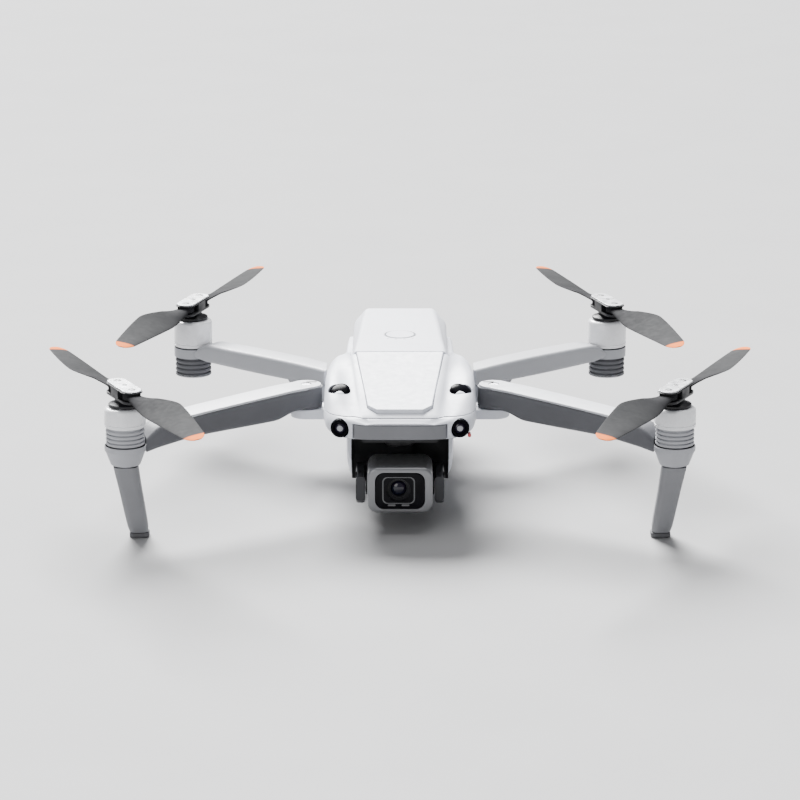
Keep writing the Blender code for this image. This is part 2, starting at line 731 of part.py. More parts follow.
def blade_station(share):
    """Chord, its middle's offset, twist in degrees and thickness of a blade at a share of its span."""
    chord = 7.0 + 12.5 * math.sin(math.pi * min(share / 0.62, 1.0) * 0.5) ** 2
    if share > 0.34:
        chord -= 10.5 * ((share - 0.34) / 0.66) ** 1.15
    offset = -1.6 * math.sin(math.pi * share)
    twist = 15.0 * (1 - share) ** 1.3 * min(share / 0.16, 1.0) + 2.0 * share
    thickness = 2.6 - 1.5 * min(share / 0.35, 1.0)
    return chord, offset, twist, thickness


def prop_blade(end, suffix, side, hub, number, handed):
    """One folding blade: a round eye on its pivot and a twisted, tapering aerofoil."""
    frame = rotor_frame(hub, end, side)
    if number == 2:
        bend = math.radians(180.0 - abs(REST_ANGLES[end][1] - REST_ANGLES[end][0]))
        sense = side if REST_ANGLES[end][1] > REST_ANGLES[end][0] else -side
        frame = frame @ Matrix.Rotation(math.pi, 4, "Z")
    else:
        bend, sense = 0.0, 1
    turn = Matrix.Translation((BLADE_PIVOT, 0, 0)) @ Matrix.Rotation(bend * sense, 4, "Z")
    span = ROTOR_RADIUS - BLADE_PIVOT - BLADE_START
    rings = []
    for i in range(BLADE_STEPS + 1):
        share = i / BLADE_STEPS
        chord, offset, twist, thickness = blade_station(share)
        if i == BLADE_STEPS:
            chord, thickness = chord * 0.55, thickness * 0.6
        tilt = Matrix.Rotation(math.radians(-twist * handed), 3, "X")
        ring = []
        for u, v in AEROFOIL:
            section = tilt @ Vector((0, handed * (u * chord + offset), v * thickness))
            ring.append(Vector((BLADE_START + span * share, 0, 0)) + section)
        rings.append(ring)
    name = f"{end}_blade_{number}_{suffix}"
    blade = loft(name, rings, blade_plastic(), 50.0)
    eye = rod(f"{name}_eye", Vector((0, 0, -1.4)), Vector((0, 0, 1.4)), 3.9, blade_plastic(), 14)
    hole = rod(f"{name}_hole", Vector((0, 0, -4)), Vector((0, 0, 4)), 1.2 + GAP, blade_plastic(), 8)
    for piece in (blade, eye, hole):
        move(piece, frame @ turn)
    join(blade, eye)
    cut(blade, hole)
    return blade


def rotor(end, suffix, side, hub, bell_low, bell_high):
    """Bell, propeller clamp and two blades of one rotor, with their turning empties."""
    bell = motor_bell(end, suffix, hub, bell_low, bell_high)
    clamp = prop_hub(end, suffix, side, hub)
    handed = side if end == "front" else -side
    frame = rotor_frame(hub, end, side)
    blades = []
    for number, sign in ((1, 1), (2, -1)):
        blade = prop_blade(end, suffix, side, hub, number, handed)
        place = frame @ Vector((BLADE_PIVOT * sign, 0, 0))
        blades.append(pivot(f"{end}_blade_pivot_{number}_{suffix}", place, [blade]))
    spin = pivot(f"{end}_spin_{suffix}", hub, [bell, clamp])
    return [spin, *blades]


# ---------------------------------------------------------------- camera and gimbal

def gimbal_plate():
    """Plate hung on the recess roof, with a raised pad that carries the yaw motor."""
    low, high = (-16.5, -73, 40.0), (16.5, -39, RECESS_ROOF - GAP)
    return box("gimbal_plate", low, high, dark_plastic(), 0.5)


def gimbal_yaw_arm():
    """Yaw motor under the plate, and the arm that drops behind the camera to the roll motor."""
    top = Vector((0, YAW_Y, 0))
    arm = turned("gimbal_yaw_arm", ((0, 33.6), (6.4, 33.6), (7.0, 34.4), (7.0, 39.7), (0, 39.7)),
                 top, UP, dark_plastic(), 28)
    shelf = box("yaw_shelf", (-5.5, YAW_Y + 1, 34.2), (5.5, -39.6, 37.4), dark_plastic())
    drop = box("yaw_drop", (-5.4, -45.4, 20.0), (5.4, -39.5, 37.2), dark_plastic())
    motor = rod("yaw_roll_motor", Vector((0, -46.0, CAMERA.z)), Vector((0, -39.4, CAMERA.z)),
                ROLL_DISC_R, dark_plastic(), 28)
    return join(arm, shelf, drop, motor)


def gimbal_roll_arm():
    """Yoke on the roll motor: a disc, a cross bar behind the camera and an arm down each side."""
    arm = rod("gimbal_roll_arm", Vector((0, -49.6, CAMERA.z)), Vector((0, -46.3, CAMERA.z)),
              ROLL_DISC_R, dark_plastic(), 28)
    low, high = (-YOKE_OUTER, -49.55, 16.0), (YOKE_OUTER, -46.7, 24.4)
    join(arm, box("yoke_back", low, high, dark_plastic(), 0.6))
    for suffix, side in SIDES.items():
        rings = []
        for y, z_low, z_high in YOKE_SIDE:
            centre = Vector((side * (YOKE_INNER + YOKE_OUTER) / 2, y, (z_low + z_high) / 2))
            half_x = (YOKE_OUTER - YOKE_INNER) / 2
            ring = rounded_ring(centre, Vector((1, 0, 0)), UP, half_x - 0.02, (z_high - z_low) / 2, 1.5)
            rings.append(ring)
        join(arm, loft(f"yoke_side_{suffix}", rings, dark_plastic()))
    return arm


def camera_body():
    half = CAMERA_SIZE / 2
    body = box("camera_body", CAMERA - half, CAMERA + half, bright_metal(), 3.0)
    for suffix, side in SIDES.items():
        start = CAMERA + Vector((side * 12.0, 0, 0))
        end = CAMERA + Vector((side * (YOKE_INNER - GAP), 0, 0))
        join(body, rod(f"tilt_stub_{suffix}", start, end, 5.0, dark_plastic()))
    low, high = (-10.8, CAMERA.y - 20, CAMERA.z - 8.6), (10.8, CAMERA.y - half.y + 2.2, CAMERA.z + 8.0)
    seat = box("glass_seat", low, high, dark_plastic())
    bore_end = CAMERA + Vector((-0.6, -2.0, 0))
    bore = rod("lens_bore", CAMERA + Vector((-0.6, -20, 0)), bore_end, 6.3, dark_plastic())
    return cut(body, seat, bore)


def lens_barrel():
    """Lens tube inside the camera, open to the front in steps."""
    start = CAMERA + Vector((-0.6, -2.3, 0))
    profile = ((0, 0), (6.0, 0), (6.0, 7.0), (5.2, 7.0), (4.4, 5.4), (3.2, 5.4), (2.6, 4.2), (0, 3.9))
    return turned("lens_barrel", profile, start, Vector((0, -1, 0)), dark_plastic())


def front_glass():
    """Black window over the camera's face."""
    y = CAMERA.y - CAMERA_SIZE.y / 2
    low, high = (-10.5, y + 0.2, CAMERA.z - 8.3), (10.5, y + 1.9, CAMERA.z + 7.7)
    return box("front_glass", low, high, lens_black(), 0.5)


# ---------------------------------------------------------------- battery

def battery_top(y):
    share = (y - BATTERY_FRONT) / (BATTERY_REAR - BATTERY_FRONT)
    return BATTERY_TOP_FRONT + (BATTERY_TOP_REAR - BATTERY_TOP_FRONT) * share


def battery_pack():
    """Battery: its underside fits the bay, and its bevelled top is the back of the aircraft."""
    rings = []
    floor = BAY_FLOOR + GAP
    side = BAY_HALF - GAP
    # y, drop of the top, half width of the flat top, bottom height
    stations = (
        (BATTERY_FRONT, 0.0, 20.4, floor),
        (94.0, 0.0, 15.9, floor),
        (BATTERY_REAR + 1.5, 3.2, 14.0, floor + 2),
    )
    for y, drop, flat, low in stations:
        top = battery_top(y) - drop
        half = ((side - 0.6, low), (side, low + 1.2), (side, top - 7.0), (flat, top))
        right = [Vector((x, y, z)) for x, z in half]
        left = [Vector((-x, y, z)) for x, z in reversed(half)]
        rings.append(right + left)
    pack = loft("battery_pack", rings, shell_plastic())
    for suffix, sign in SIDES.items():
        cut(pack, box(f"latch_pocket_{suffix}", *latch_box(sign, GAP, 3.8), shell_plastic()))
    cut(pack, button_solid("button_pocket", GAP, 1.6, 6.0))
    return pack


def latch_box(side, grow, depth):
    """Corners of a battery latch, or of the pocket that it slides in."""
    inner, outer = side * (BAY_HALF - GAP - depth), side * (BAY_HALF - GAP + (20 * grow))
    low = (min(inner, outer), 76.0 - grow, 47.6 - grow)
    high = (max(inner, outer), 90.0 + grow, 52.8 + grow)
    return low, high


def battery_latch(suffix, side):
    """Release latch on one side of the battery, pressed inward."""
    latch = box(f"battery_latch_{suffix}", *latch_box(side, 0.0, 2.0), arm_plastic(), 0.3)
    pivot(f"latch_slide_{suffix}", Vector((side * (BAY_HALF - 1.3), 83.0, 50.2)), [latch])
    return latch


def button_solid(name, grow, depth, rise):
    """Oval power button on the battery's sloping top, or the pocket that it sinks into."""
    slope = (BATTERY_TOP_REAR - BATTERY_TOP_FRONT) / (BATTERY_REAR - BATTERY_FRONT)
    rings = []
    for height in (-depth, rise):
        ring = []
        for i in range(28):
            angle = math.tau * i / 28
            x, dy = (6.4 + grow) * math.cos(angle), (8.6 + grow) * math.sin(angle)
            ring.append(Vector((x, BUTTON_Y + dy, battery_top(BUTTON_Y) + slope * dy + height)))
        rings.append(ring)
    return loft(name, rings, shell_plastic())


def power_button():
    button = button_solid("power_button", 0.0, 0.9, 0.3)
    pivot("power_button_slide", Vector((0, BUTTON_Y, battery_top(BUTTON_Y))), [button])
    return button


# ---------------------------------------------------------------- assembly

def build_body():
    middle_frame()
    bottom_cover()
    top_cover()
    nose_panel()
    nose_band()
    main_board()
    heat_sink()
    cooling_fan()
    downward_sensor()
    status_light()
    port_cover()
    rear_window("rear_sensor", 0.0)
    gimbal_plate()
    for suffix, side in SIDES.items():
        for name in sensor_places():
            sensor(name, side)
        rear_foot(suffix, side)
        front_hinge_pin(suffix, side)
        rear_hinge_pin(suffix, side)


def build_arms():
    for suffix, side in SIDES.items():
        front = [front_arm(suffix, side), landing_leg(suffix, side), foot_pad(suffix, side),
                 front_motor_base(suffix, side)]
        front += rotor("front", suffix, side, place_right(FRONT_HUB, side), 52.2, 60.8)
        pivot(f"front_fold_{suffix}", place_right(FRONT_HINGE, side), front)
        rear = [rear_arm(suffix, side), rear_motor_base(suffix, side)]
        rear += rotor("rear", suffix, side, place_right(REAR_HUB, side), 45.2, 57.6)
        pivot(f"rear_fold_{suffix}", place_right(REAR_HINGE, side), rear)


def build_gimbal():
    camera = [camera_body(), lens_barrel(), front_glass()]
    tilt = pivot("gimbal_tilt", CAMERA, camera)
    roll = pivot("gimbal_roll", Vector((0, -48.0, CAMERA.z)), [gimbal_roll_arm(), tilt])
    pivot("gimbal_yaw", Vector((0, YAW_Y, 36.0)), [gimbal_yaw_arm(), roll])


def build_battery():
    pack = [battery_pack(), power_button()]
    for suffix, side in SIDES.items():
        pack.append(battery_latch(suffix, side))
    pivot("battery_slide", Vector((0, 44.0, 50.0)), [p.parent or p for p in pack])


def centre_on_origin():
    """Moves everything so that the origin lies under the middle of the aircraft's length."""
    for obj in bpy.data.objects:
        if obj.parent is None:
            obj.location.y += CENTRE_SHIFT * MM


clear_scene()
build_body()
build_arms()
build_gimbal()
build_battery()
centre_on_origin()
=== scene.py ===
"""Looks of the folding camera quadcopter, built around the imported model.

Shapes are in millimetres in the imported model's frame (nose to -Y, +Z up) and scaled by MM.
"""

import json
import math

import bmesh
import bpy
from mathutils import Matrix, Vector


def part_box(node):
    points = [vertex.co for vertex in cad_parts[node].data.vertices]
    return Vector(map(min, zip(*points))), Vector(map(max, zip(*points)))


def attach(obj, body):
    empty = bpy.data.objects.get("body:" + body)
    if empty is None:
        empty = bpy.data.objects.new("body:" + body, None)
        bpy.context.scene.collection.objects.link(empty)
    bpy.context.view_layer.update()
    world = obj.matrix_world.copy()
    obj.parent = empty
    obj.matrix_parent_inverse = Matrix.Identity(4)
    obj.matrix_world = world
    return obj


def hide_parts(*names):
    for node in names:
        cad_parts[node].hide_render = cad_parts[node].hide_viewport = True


MM = 0.001
SIDES = {"left": -1, "right": 1}
X, Y, UP = Vector((1, 0, 0)), Vector((0, 1, 0)), Vector((0, 0, 1))

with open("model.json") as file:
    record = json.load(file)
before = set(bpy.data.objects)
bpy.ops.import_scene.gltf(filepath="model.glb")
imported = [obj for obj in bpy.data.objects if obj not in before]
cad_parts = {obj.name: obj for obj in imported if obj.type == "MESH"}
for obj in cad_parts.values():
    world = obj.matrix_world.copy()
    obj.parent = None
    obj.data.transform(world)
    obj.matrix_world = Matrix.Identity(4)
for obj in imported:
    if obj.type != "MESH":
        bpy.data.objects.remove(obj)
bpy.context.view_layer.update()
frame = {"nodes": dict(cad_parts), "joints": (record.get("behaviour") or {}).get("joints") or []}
JOINTS = {joint["name"]: joint for joint in frame["joints"]}


# ---- places from the frame

def low_high(node):
    """Lowest and highest corner of a node, in millimetres."""
    low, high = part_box(node)
    return low / MM, high / MM


def middle(node):
    low, high = low_high(node)
    return (low + high) / 2


def joint_place(name):
    return Vector(JOINTS[name]["pos_m"]) / MM


def outward_axis(name, side):
    """A joint's axis, turned so that it points away from the body on its side."""
    axis = Vector(JOINTS[name]["axis"])
    return axis if axis.x * side > 0 else -axis


def hub_place(end, suffix):
    """Rotor centre, at the height where the blades are pinned."""
    bell, pivot = middle(f"{end}_motor_bell_{suffix}"), joint_place(f"{end}_blade_1_fold_{suffix}")
    return Vector((bell.x, bell.y, pivot.z))


# ---- materials

class Nodes:
    """Short way to add and link shader nodes."""

    def __init__(self, name):
        self.material = bpy.data.materials.new(name)
        self.material.use_nodes = True
        self.tree = self.material.node_tree
        self.shader = self.tree.nodes["Principled BSDF"]
        self.place = self.add("ShaderNodeTexCoord").outputs["Object"]

    def add(self, kind, **settings):
        node = self.tree.nodes.new(kind)
        for key, value in settings.items():
            setattr(node, key, value)
        return node

    def link(self, source, target):
        self.tree.links.new(source, target)

    def noise(self, size_mm, detail=3.0, stretch=None):
        """Noise whose features are about size_mm across, stretched along an axis if asked."""
        node = self.add("ShaderNodeTexNoise")
        node.inputs["Scale"].default_value = 1.0 / (size_mm * MM)
        node.inputs["Detail"].default_value = detail
        source = self.place
        if stretch:
            mapping = self.add("ShaderNodeMapping")
            mapping.inputs["Scale"].default_value = stretch
            self.link(source, mapping.inputs["Vector"])
            source = mapping.outputs["Vector"]
        self.link(source, node.inputs["Vector"])
        return node.outputs["Fac"]

    def spread(self, source, low, high, start=0.3, end=0.7):
        node = self.add("ShaderNodeMapRange")
        for key, value in (("From Min", start), ("From Max", end), ("To Min", low), ("To Max", high)):
            node.inputs[key].default_value = value
        self.link(source, node.inputs["Value"])
        return node.outputs["Result"]

    def mix(self, factor, first, second):
        """Colour between two colours or sockets."""
        node = self.add("ShaderNodeMix", data_type="RGBA")
        self.link(factor, node.inputs["Factor"])
        for value, key in ((first, 6), (second, 7)):
            if isinstance(value, tuple):
                node.inputs[key].default_value = (*value, 1.0)
            else:
                self.link(value, node.inputs[key])
        return node.outputs[2]

    def bump(self, height, depth_mm, strength):
        node = self.add("ShaderNodeBump")
        node.inputs["Strength"].default_value = strength
        node.inputs["Distance"].default_value = depth_mm * MM
        self.link(height, node.inputs["Height"])
        return node.outputs["Normal"]

    def finish(self, colour, roughness, normal=None, **fixed):
        """Feeds the shader's colour, roughness and bump, and sets its other sockets to fixed values."""
        for source, key in ((colour, "Base Color"), (roughness, "Roughness"), (normal, "Normal")):
            if source is not None:
                self.link(source, self.shader.inputs[key])
        for key, value in fixed.items():
            self.shader.inputs[key.replace("_", " ")].default_value = value
        return self.material


def shade(colour, factor):
    return tuple(min(1.0, c * factor) for c in colour)


def moulded(name, colour, roughness, vary, grain=0.012, coat=0.0, metallic=0.0, gloss=0.3):
    """Moulded plastic or painted metal: fine grain, faint mottling and fine scuffs."""
    n = Nodes(name)
    body = n.mix(n.spread(n.noise(14.0, 4.0), 0.0, 1.0), shade(colour, 1 - vary), shade(colour, 1 + vary))
    scuffs = n.spread(n.noise(1.1, 6.0, (1, 5, 1)), 0.0, 0.35, 0.6, 0.78)
    tone = n.mix(scuffs, body, shade(colour, 1 + 2.5 * vary))
    rough = n.spread(n.noise(3.0), roughness - 0.05, roughness + 0.06)
    return n.finish(tone, rough, n.bump(n.noise(0.22, 2.0), grain, 0.6),
                    Metallic=metallic, Coat_Weight=coat, Specular_IOR_Level=gloss)


def brushed(name, colour, roughness, along=(1, 1, 14)):
    """Turned or brushed metal, with fine lines and uneven gloss."""
    n = Nodes(name)
    lines = n.noise(0.9, 5.0, along)
    tone = n.mix(n.spread(lines, 0.0, 1.0), shade(colour, 0.9), shade(colour, 1.06))
    return n.finish(tone, n.spread(lines, roughness - 0.06, roughness + 0.1), n.bump(lines, 0.01, 0.5),
                    Metallic=1.0)


def glossy(name, colour, tint, roughness, gloss, index=1.5):
    """Dark window or lens: two close colours in soft patches, with slightly uneven gloss."""
    n = Nodes(name)
    tone = n.mix(n.spread(n.noise(5.0), 0.0, 1.0), colour, tint)
    return n.finish(tone, n.spread(n.noise(1.6, 5.0), roughness, roughness + 0.06),
                    Specular_IOR_Level=gloss, IOR=index)


def blade_material():
    """Grey propeller plastic, darker at the root, with a coloured tip.  SPAN runs 0 to 1 along it."""
    n = Nodes("blade_plastic")
    span = n.add("ShaderNodeAttribute", attribute_name="SPAN").outputs["Fac"]
    ramp = n.add("ShaderNodeValToRGB")
    stops = ramp.color_ramp.elements
    stops[0].position, stops[0].color = 0.0, (0.014, 0.014, 0.016, 1)
    stops[1].position, stops[1].color = 1.0, (0.78, 0.18, 0.03, 1)
    for position, colour in ((0.4, (0.022, 0.0225, 0.0236, 1)), (0.915, (0.034, 0.0344, 0.0356, 1)),
                             (0.93, (0.74, 0.17, 0.028, 1))):
        stops.new(position).color = colour
    n.link(span, ramp.inputs["Fac"])
    tone = n.mix(n.spread(n.noise(9.0, 4.0), 0.0, 0.016), ramp.outputs["Color"], (0.5, 0.5, 0.5))
    return n.finish(tone, n.spread(n.noise(2.4), 0.66, 0.76), n.bump(n.noise(0.3, 2.0), 0.01, 0.5),
                    Specular_IOR_Level=0.3, IOR=1.12)


def board_material():
    """Green circuit board with lighter lines, like tracks, raised a little."""
    n = Nodes("board")
    traces = n.add("ShaderNodeTexVoronoi", feature="DISTANCE_TO_EDGE", distance="MANHATTAN")
    traces.inputs["Scale"].default_value = 1.0 / (3.2 * MM)
    n.link(n.place, traces.inputs["Vector"])
    lines = n.spread(traces.outputs["Distance"], 1.0, 0.0, 0.02, 0.08)
    tone = n.mix(lines, (0.012, 0.10, 0.05), (0.03, 0.2, 0.09))
    return n.finish(tone, n.spread(n.noise(1.0), 0.3, 0.45), n.bump(lines, 0.03, 0.6))


SHELL = moulded("shell_plastic", (0.70, 0.718, 0.775), 0.42, 0.012)
BATTERY = moulded("battery_plastic", (0.72, 0.735, 0.785), 0.44, 0.012)
# ARM and ARM_TOP are darker and lighter copies of one arm grey: painted shade on the front beams and painted
# light on their top strips
ARM = moulded("arm_plastic", (0.115, 0.117, 0.127), 0.5, 0.06, gloss=0.15)
ARM_LIGHT = moulded("arm_light_plastic", (0.40, 0.406, 0.43), 0.42, 0.03)
LEG = moulded("leg_plastic", (0.225, 0.228, 0.24), 0.5, 0.04, gloss=0.15)
ARM_TOP = moulded("arm_top_plastic", (0.60, 0.61, 0.64), 0.36, 0.02)
REAR_ARM = moulded("rear_arm_plastic", (0.37, 0.378, 0.40), 0.42, 0.03)
NOSE_GREY = moulded("nose_grey_plastic", (0.19, 0.193, 0.206), 0.45, 0.04)
DARK = moulded("dark_plastic", (0.010, 0.010, 0.012), 0.42, 0.2, 0.01)
GRAPHITE = moulded("graphite_metal", (0.045, 0.046, 0.05), 0.36, 0.12, 0.008, metallic=0.4)
SILVER = moulded("silver_metal", (0.40, 0.405, 0.415), 0.32, 0.04, 0.006, 0.2, 0.7)
CAMERA_SHELL = moulded("camera_metal", (0.22, 0.222, 0.23), 0.34, 0.04, 0.006, 0.15, 0.55)
BELL = moulded("bell_paint", (0.90, 0.905, 0.92), 0.26, 0.02, 0.006, 0.4, gloss=0.5)
STEEL = brushed("pin_steel", (0.56, 0.56, 0.58), 0.3)
SINK = brushed("sink_metal", (0.6, 0.6, 0.62), 0.38, (1, 14, 1))
BLADE = blade_material()
BOARD = board_material()
LENS = glossy("lens_black", (0.002, 0.002, 0.003), (0.004, 0.004, 0.006), 0.2, 0.5, 1.08)
GLASS = glossy("front_glass", (0.002, 0.002, 0.003), (0.005, 0.005, 0.007), 0.12, 0.08)
COATED = glossy("coated_lens", (0.004, 0.006, 0.014), (0.012, 0.008, 0.02), 0.03, 0.5)
RUBBER = moulded("foot_rubber", (0.05, 0.05, 0.053), 0.75, 0.12, 0.05)
PAD_RUBBER = moulded("pad_rubber", (0.11, 0.111, 0.117), 0.75, 0.08, 0.05)
PALE_MARK = moulded("pale_mark", (0.42, 0.43, 0.44), 0.35, 0.05)
FRAME_MARK = moulded("frame_mark", (0.12, 0.122, 0.126), 0.3, 0.05)
LIGHT_RED = moulded("red_lens", (0.55, 0.04, 0.05), 0.2, 0.1, 0.004, 0.6)


# ---- mesh helpers

def piece(name, bm, material, smooth_angle=40.0, bevel=0.0):
    """Finishes a bmesh in millimetres as an object, with rounded edges if asked."""
    bmesh.ops.remove_doubles(bm, verts=bm.verts, dist=1e-4)
    bmesh.ops.recalc_face_normals(bm, faces=bm.faces)
    bmesh.ops.scale(bm, vec=(MM, MM, MM), verts=bm.verts)
    mesh = bpy.data.meshes.new(name)
    bm.to_mesh(mesh)
    bm.free()
    mesh.materials.append(material)
    mesh.shade_smooth()
    mesh.set_sharp_from_angle(angle=math.radians(smooth_angle))
    obj = bpy.data.objects.new(name, mesh)
    bpy.context.scene.collection.objects.link(obj)
    if bevel:
        round_edges(obj, bevel, 3)
    return obj


def round_edges(obj, width_mm, segments):
    modifier = obj.modifiers.new("rounding", "BEVEL")
    modifier.width = width_mm * MM
    modifier.segments = segments
    modifier.limit_method = "ANGLE"
    modifier.angle_limit = math.radians(32.0)
    modifier.harden_normals = True


def settle(obj):
    """Applies the modifiers, so that no cutter has to stay in the scene."""
    bpy.context.view_layer.update()
    graph = bpy.context.evaluated_depsgraph_get()
    mesh = bpy.data.meshes.new_from_object(obj.evaluated_get(graph))
    obj.modifiers.clear()
    obj.data = mesh
    return obj


def combine(obj, tools, operation):
    """Cuts with or joins the tools, one after another, and removes each."""
    for tool in tools:
        modifier = obj.modifiers.new("shape", "BOOLEAN")
        modifier.object = tool
        modifier.operation = operation
        modifier.solver = "MANIFOLD"
        settle(obj)
        bpy.data.objects.remove(tool, do_unlink=True)


def cut(obj, *tools):
    combine(obj, tools, "DIFFERENCE")


def join(obj, *tools):
    combine(obj, tools, "UNION")


def resharpen(obj, angle=35.0):
    obj.data.shade_smooth()
    obj.data.set_sharp_from_angle(angle=math.radians(angle))
    return obj


def bridge(bm, rings, closed=False):
    """Skins rings of points in turn, then caps both ends or, if closed, leads back to the first ring."""
    rows = [[bm.verts.new(point) for point in ring] for ring in rings]
    count = len(rings[0])
    for low, high in zip(rows, rows[1:] + rows[:1] if closed else rows[1:]):
        for i in range(count):
            j = (i + 1) % count
            bm.faces.new((low[i], low[j], high[j], high[i]))
    if not closed:
        bm.faces.new(rows[0])
        bm.faces.new(rows[-1])
    return rows


def closed_band(name, loops, material):
    """A ring whose section runs through the loops in turn and back to the first."""
    bm = bmesh.new()
    bridge(bm, loops, closed=True)
    return piece(name, bm, material)


def loft(name, rings, material, smooth_angle=40.0, bevel=0.0):
    bm = bmesh.new()
    bridge(bm, rings)
    return piece(name, bm, material, smooth_angle, bevel)


def turned(name, profile, centre, axis, material, segments=64, bevel=0.0):
    """A turned solid.  profile is (radius, height), from one point on the axis to another."""
    bm = bmesh.new()
    turn = axis.to_track_quat("Z", "Y")
    rows = []
    for radius, height in profile:
        count = segments if radius else 1
        row = []
        for i in range(count):
            angle = math.tau * i / segments
            offset = Vector((radius * math.cos(angle), radius * math.sin(angle), height))
            row.append(bm.verts.new(centre + turn @ offset))
        rows.append(row)
    for low, high in zip(rows, rows[1:]):
        for i in range(segments):
            j = (i + 1) % segments
            a, b = low[i % len(low)], low[j % len(low)]
            c, d = high[j % len(high)], high[i % len(high)]
            corners = [v for k, v in enumerate((a, b, c, d)) if v not in (a, b, c, d)[:k]]
            if len(corners) > 2:
                bm.faces.new(corners)
    return piece(name, bm, material, 40.0, bevel)


def rod(name, start, end, radius, material, segments=40, bevel=0.0):
    length = (end - start).length
    profile = ((0, 0), (radius, 0), (radius, length), (0, length))
    return turned(name, profile, start, (end - start).normalized(), material, segments, bevel)


def upright(name, place, low, high, radius, material, segments=64):
    """A rod that stands over a place, between two heights."""
    foot = Vector((place.x, place.y, low))
    return rod(name, foot, foot + UP * (high - low), radius, material, segments)


def block(name, low, high, material, bevel=0.0):
    bm = bmesh.new()
    bmesh.ops.create_cube(bm, size=1.0)
    low, high = Vector(low), Vector(high)
    bmesh.ops.scale(bm, vec=high - low, verts=bm.verts)
    bmesh.ops.translate(bm, vec=(low + high) / 2, verts=bm.verts)
    return piece(name, bm, material, 40.0, bevel)


def rounded_ring(centre, u, v, half_u, half_v, radius, steps=6):
    ring = []
    for su, sv, start in ((1, 1, 0), (-1, 1, 90), (-1, -1, 180), (1, -1, 270)):
        for i in range(steps + 1):
            angle = math.radians(start + 90 * i / steps)
            du = su * (half_u - radius) + radius * math.cos(angle)
            dv = sv * (half_v - radius) + radius * math.sin(angle)
            ring.append(centre + u * du + v * dv)
    return ring


def pillow(name, low, high, axis, corner, edge, material, steps=8):
    """Block with a rounded outline seen along axis, and edges rounded the other way too."""
    low, high = Vector(low), Vector(high)
    centre, half = (low + high) / 2, (high - low) / 2
    u, v = (X, UP) if axis == "Y" else (X, Y)
    w = Y if axis == "Y" else UP
    half_u, half_v, half_w = abs(half.dot(u)), abs(half.dot(v)), abs(half.dot(w))
    rings, turns = [], 5
    for end in (-1, 1):
        for i in range(turns + 1):
            angle = math.pi / 2 * (i if end < 0 else turns - i) / turns
            inset = edge * (1 - math.sin(angle))
            place = centre + w * end * (half_w - edge * (1 - math.cos(angle)))
            radius = max(0.2, corner - inset)
            rings.append(rounded_ring(place, u, v, half_u - inset, half_v - inset, radius, steps))
    return loft(name, rings, material, 50.0)


def smooth(table, y):
    """Values at y of a table of (y, values...), on a curve that never overshoots its stations."""
    keys = [row[0] for row in table]
    y = min(max(y, keys[0]), keys[-1])
    k = max(i for i in range(len(keys) - 1) if keys[i] <= y)
    span = keys[k + 1] - keys[k]
    t = (y - keys[k]) / span

    def slope(i, column):
        if i in (0, len(keys) - 1):
            return 0.0
        before = (table[i][column] - table[i - 1][column]) / (keys[i] - keys[i - 1])
        after = (table[i + 1][column] - table[i][column]) / (keys[i + 1] - keys[i])
        return 0.0 if before * after <= 0 else 2 * before * after / (before + after)

    out = []
    for column in range(1, len(table[0])):
        a, b = table[k][column], table[k + 1][column]
        m0, m1 = slope(k, column) * span, slope(k + 1, column) * span
        h = t * t * (3 - 2 * t)
        out.append(a + (b - a) * h + (t ** 3 - 2 * t * t + t) * m0 + (t ** 3 - t * t) * m1)
    return out


def mirrored(right):
    """The right half of an outline, then its mirror image."""
    return right + [Vector((-p.x, p.y, p.z)) for p in reversed(right)]


def filleted(right, radii, steps=6):
    """Closed outline from its right half, each corner turned into a curve that starts radius before it."""
    points, radii = mirrored(right), radii + radii[::-1]
    out = []
    for i, point in enumerate(points):
        before, after = points[i - 1], points[(i + 1) % len(points)]
        back, ahead = before - point, after - point
        reach_back = min(radii[i], back.length * 0.48)
        reach_ahead = min(radii[i], ahead.length * 0.48)
        start, end = point + back.normalized() * reach_back, point + ahead.normalized() * reach_ahead
        for k in range(steps + 1):
            t = k / steps
            out.append(start * (1 - t) ** 2 + point * 2 * t * (1 - t) + end * t * t)
    return out


def dress(obj, body, slot, *nodes):
    """Puts a piece on its body and hides the nodes that it stands for; its slot is not used."""
    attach(obj, body)
    if nodes:
        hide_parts(*nodes)


def carry(node, material, bevel=0.0):
    """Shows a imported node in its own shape, with a material and, if asked, softer edges."""
    obj = frame["nodes"][node]
    obj.data.materials.clear()
    obj.data.materials.append(material)
    obj.data.shade_smooth()
    obj.data.set_sharp_from_angle(angle=math.radians(35.0))
    if bevel:
        round_edges(obj, bevel, 2)


# ---- body

NOSE_Y = low_high("middle_frame")[0].y
SEAM_TOP = (low_high("middle_frame")[1].z + low_high("top_cover")[0].z) / 2
FRAME_UNDERSIDE = 20.15
SEAM_LOW = (low_high("bottom_cover")[1].z + FRAME_UNDERSIDE) / 2
SEAM_HALF = 0.16
RECESS_HALF = 21.4
RECESS_BACK_Y = -34.8
RECESS_ROOF = low_high("gimbal_plate")[1].z + 0.3
PACK_LOW, PACK_HIGH = low_high("battery_pack")
BAY_HALF = PACK_HIGH.x + 0.3
BAY_FLOOR = PACK_LOW.z - 0.3
BAY_FRONT_Y = PACK_LOW.y - 0.3

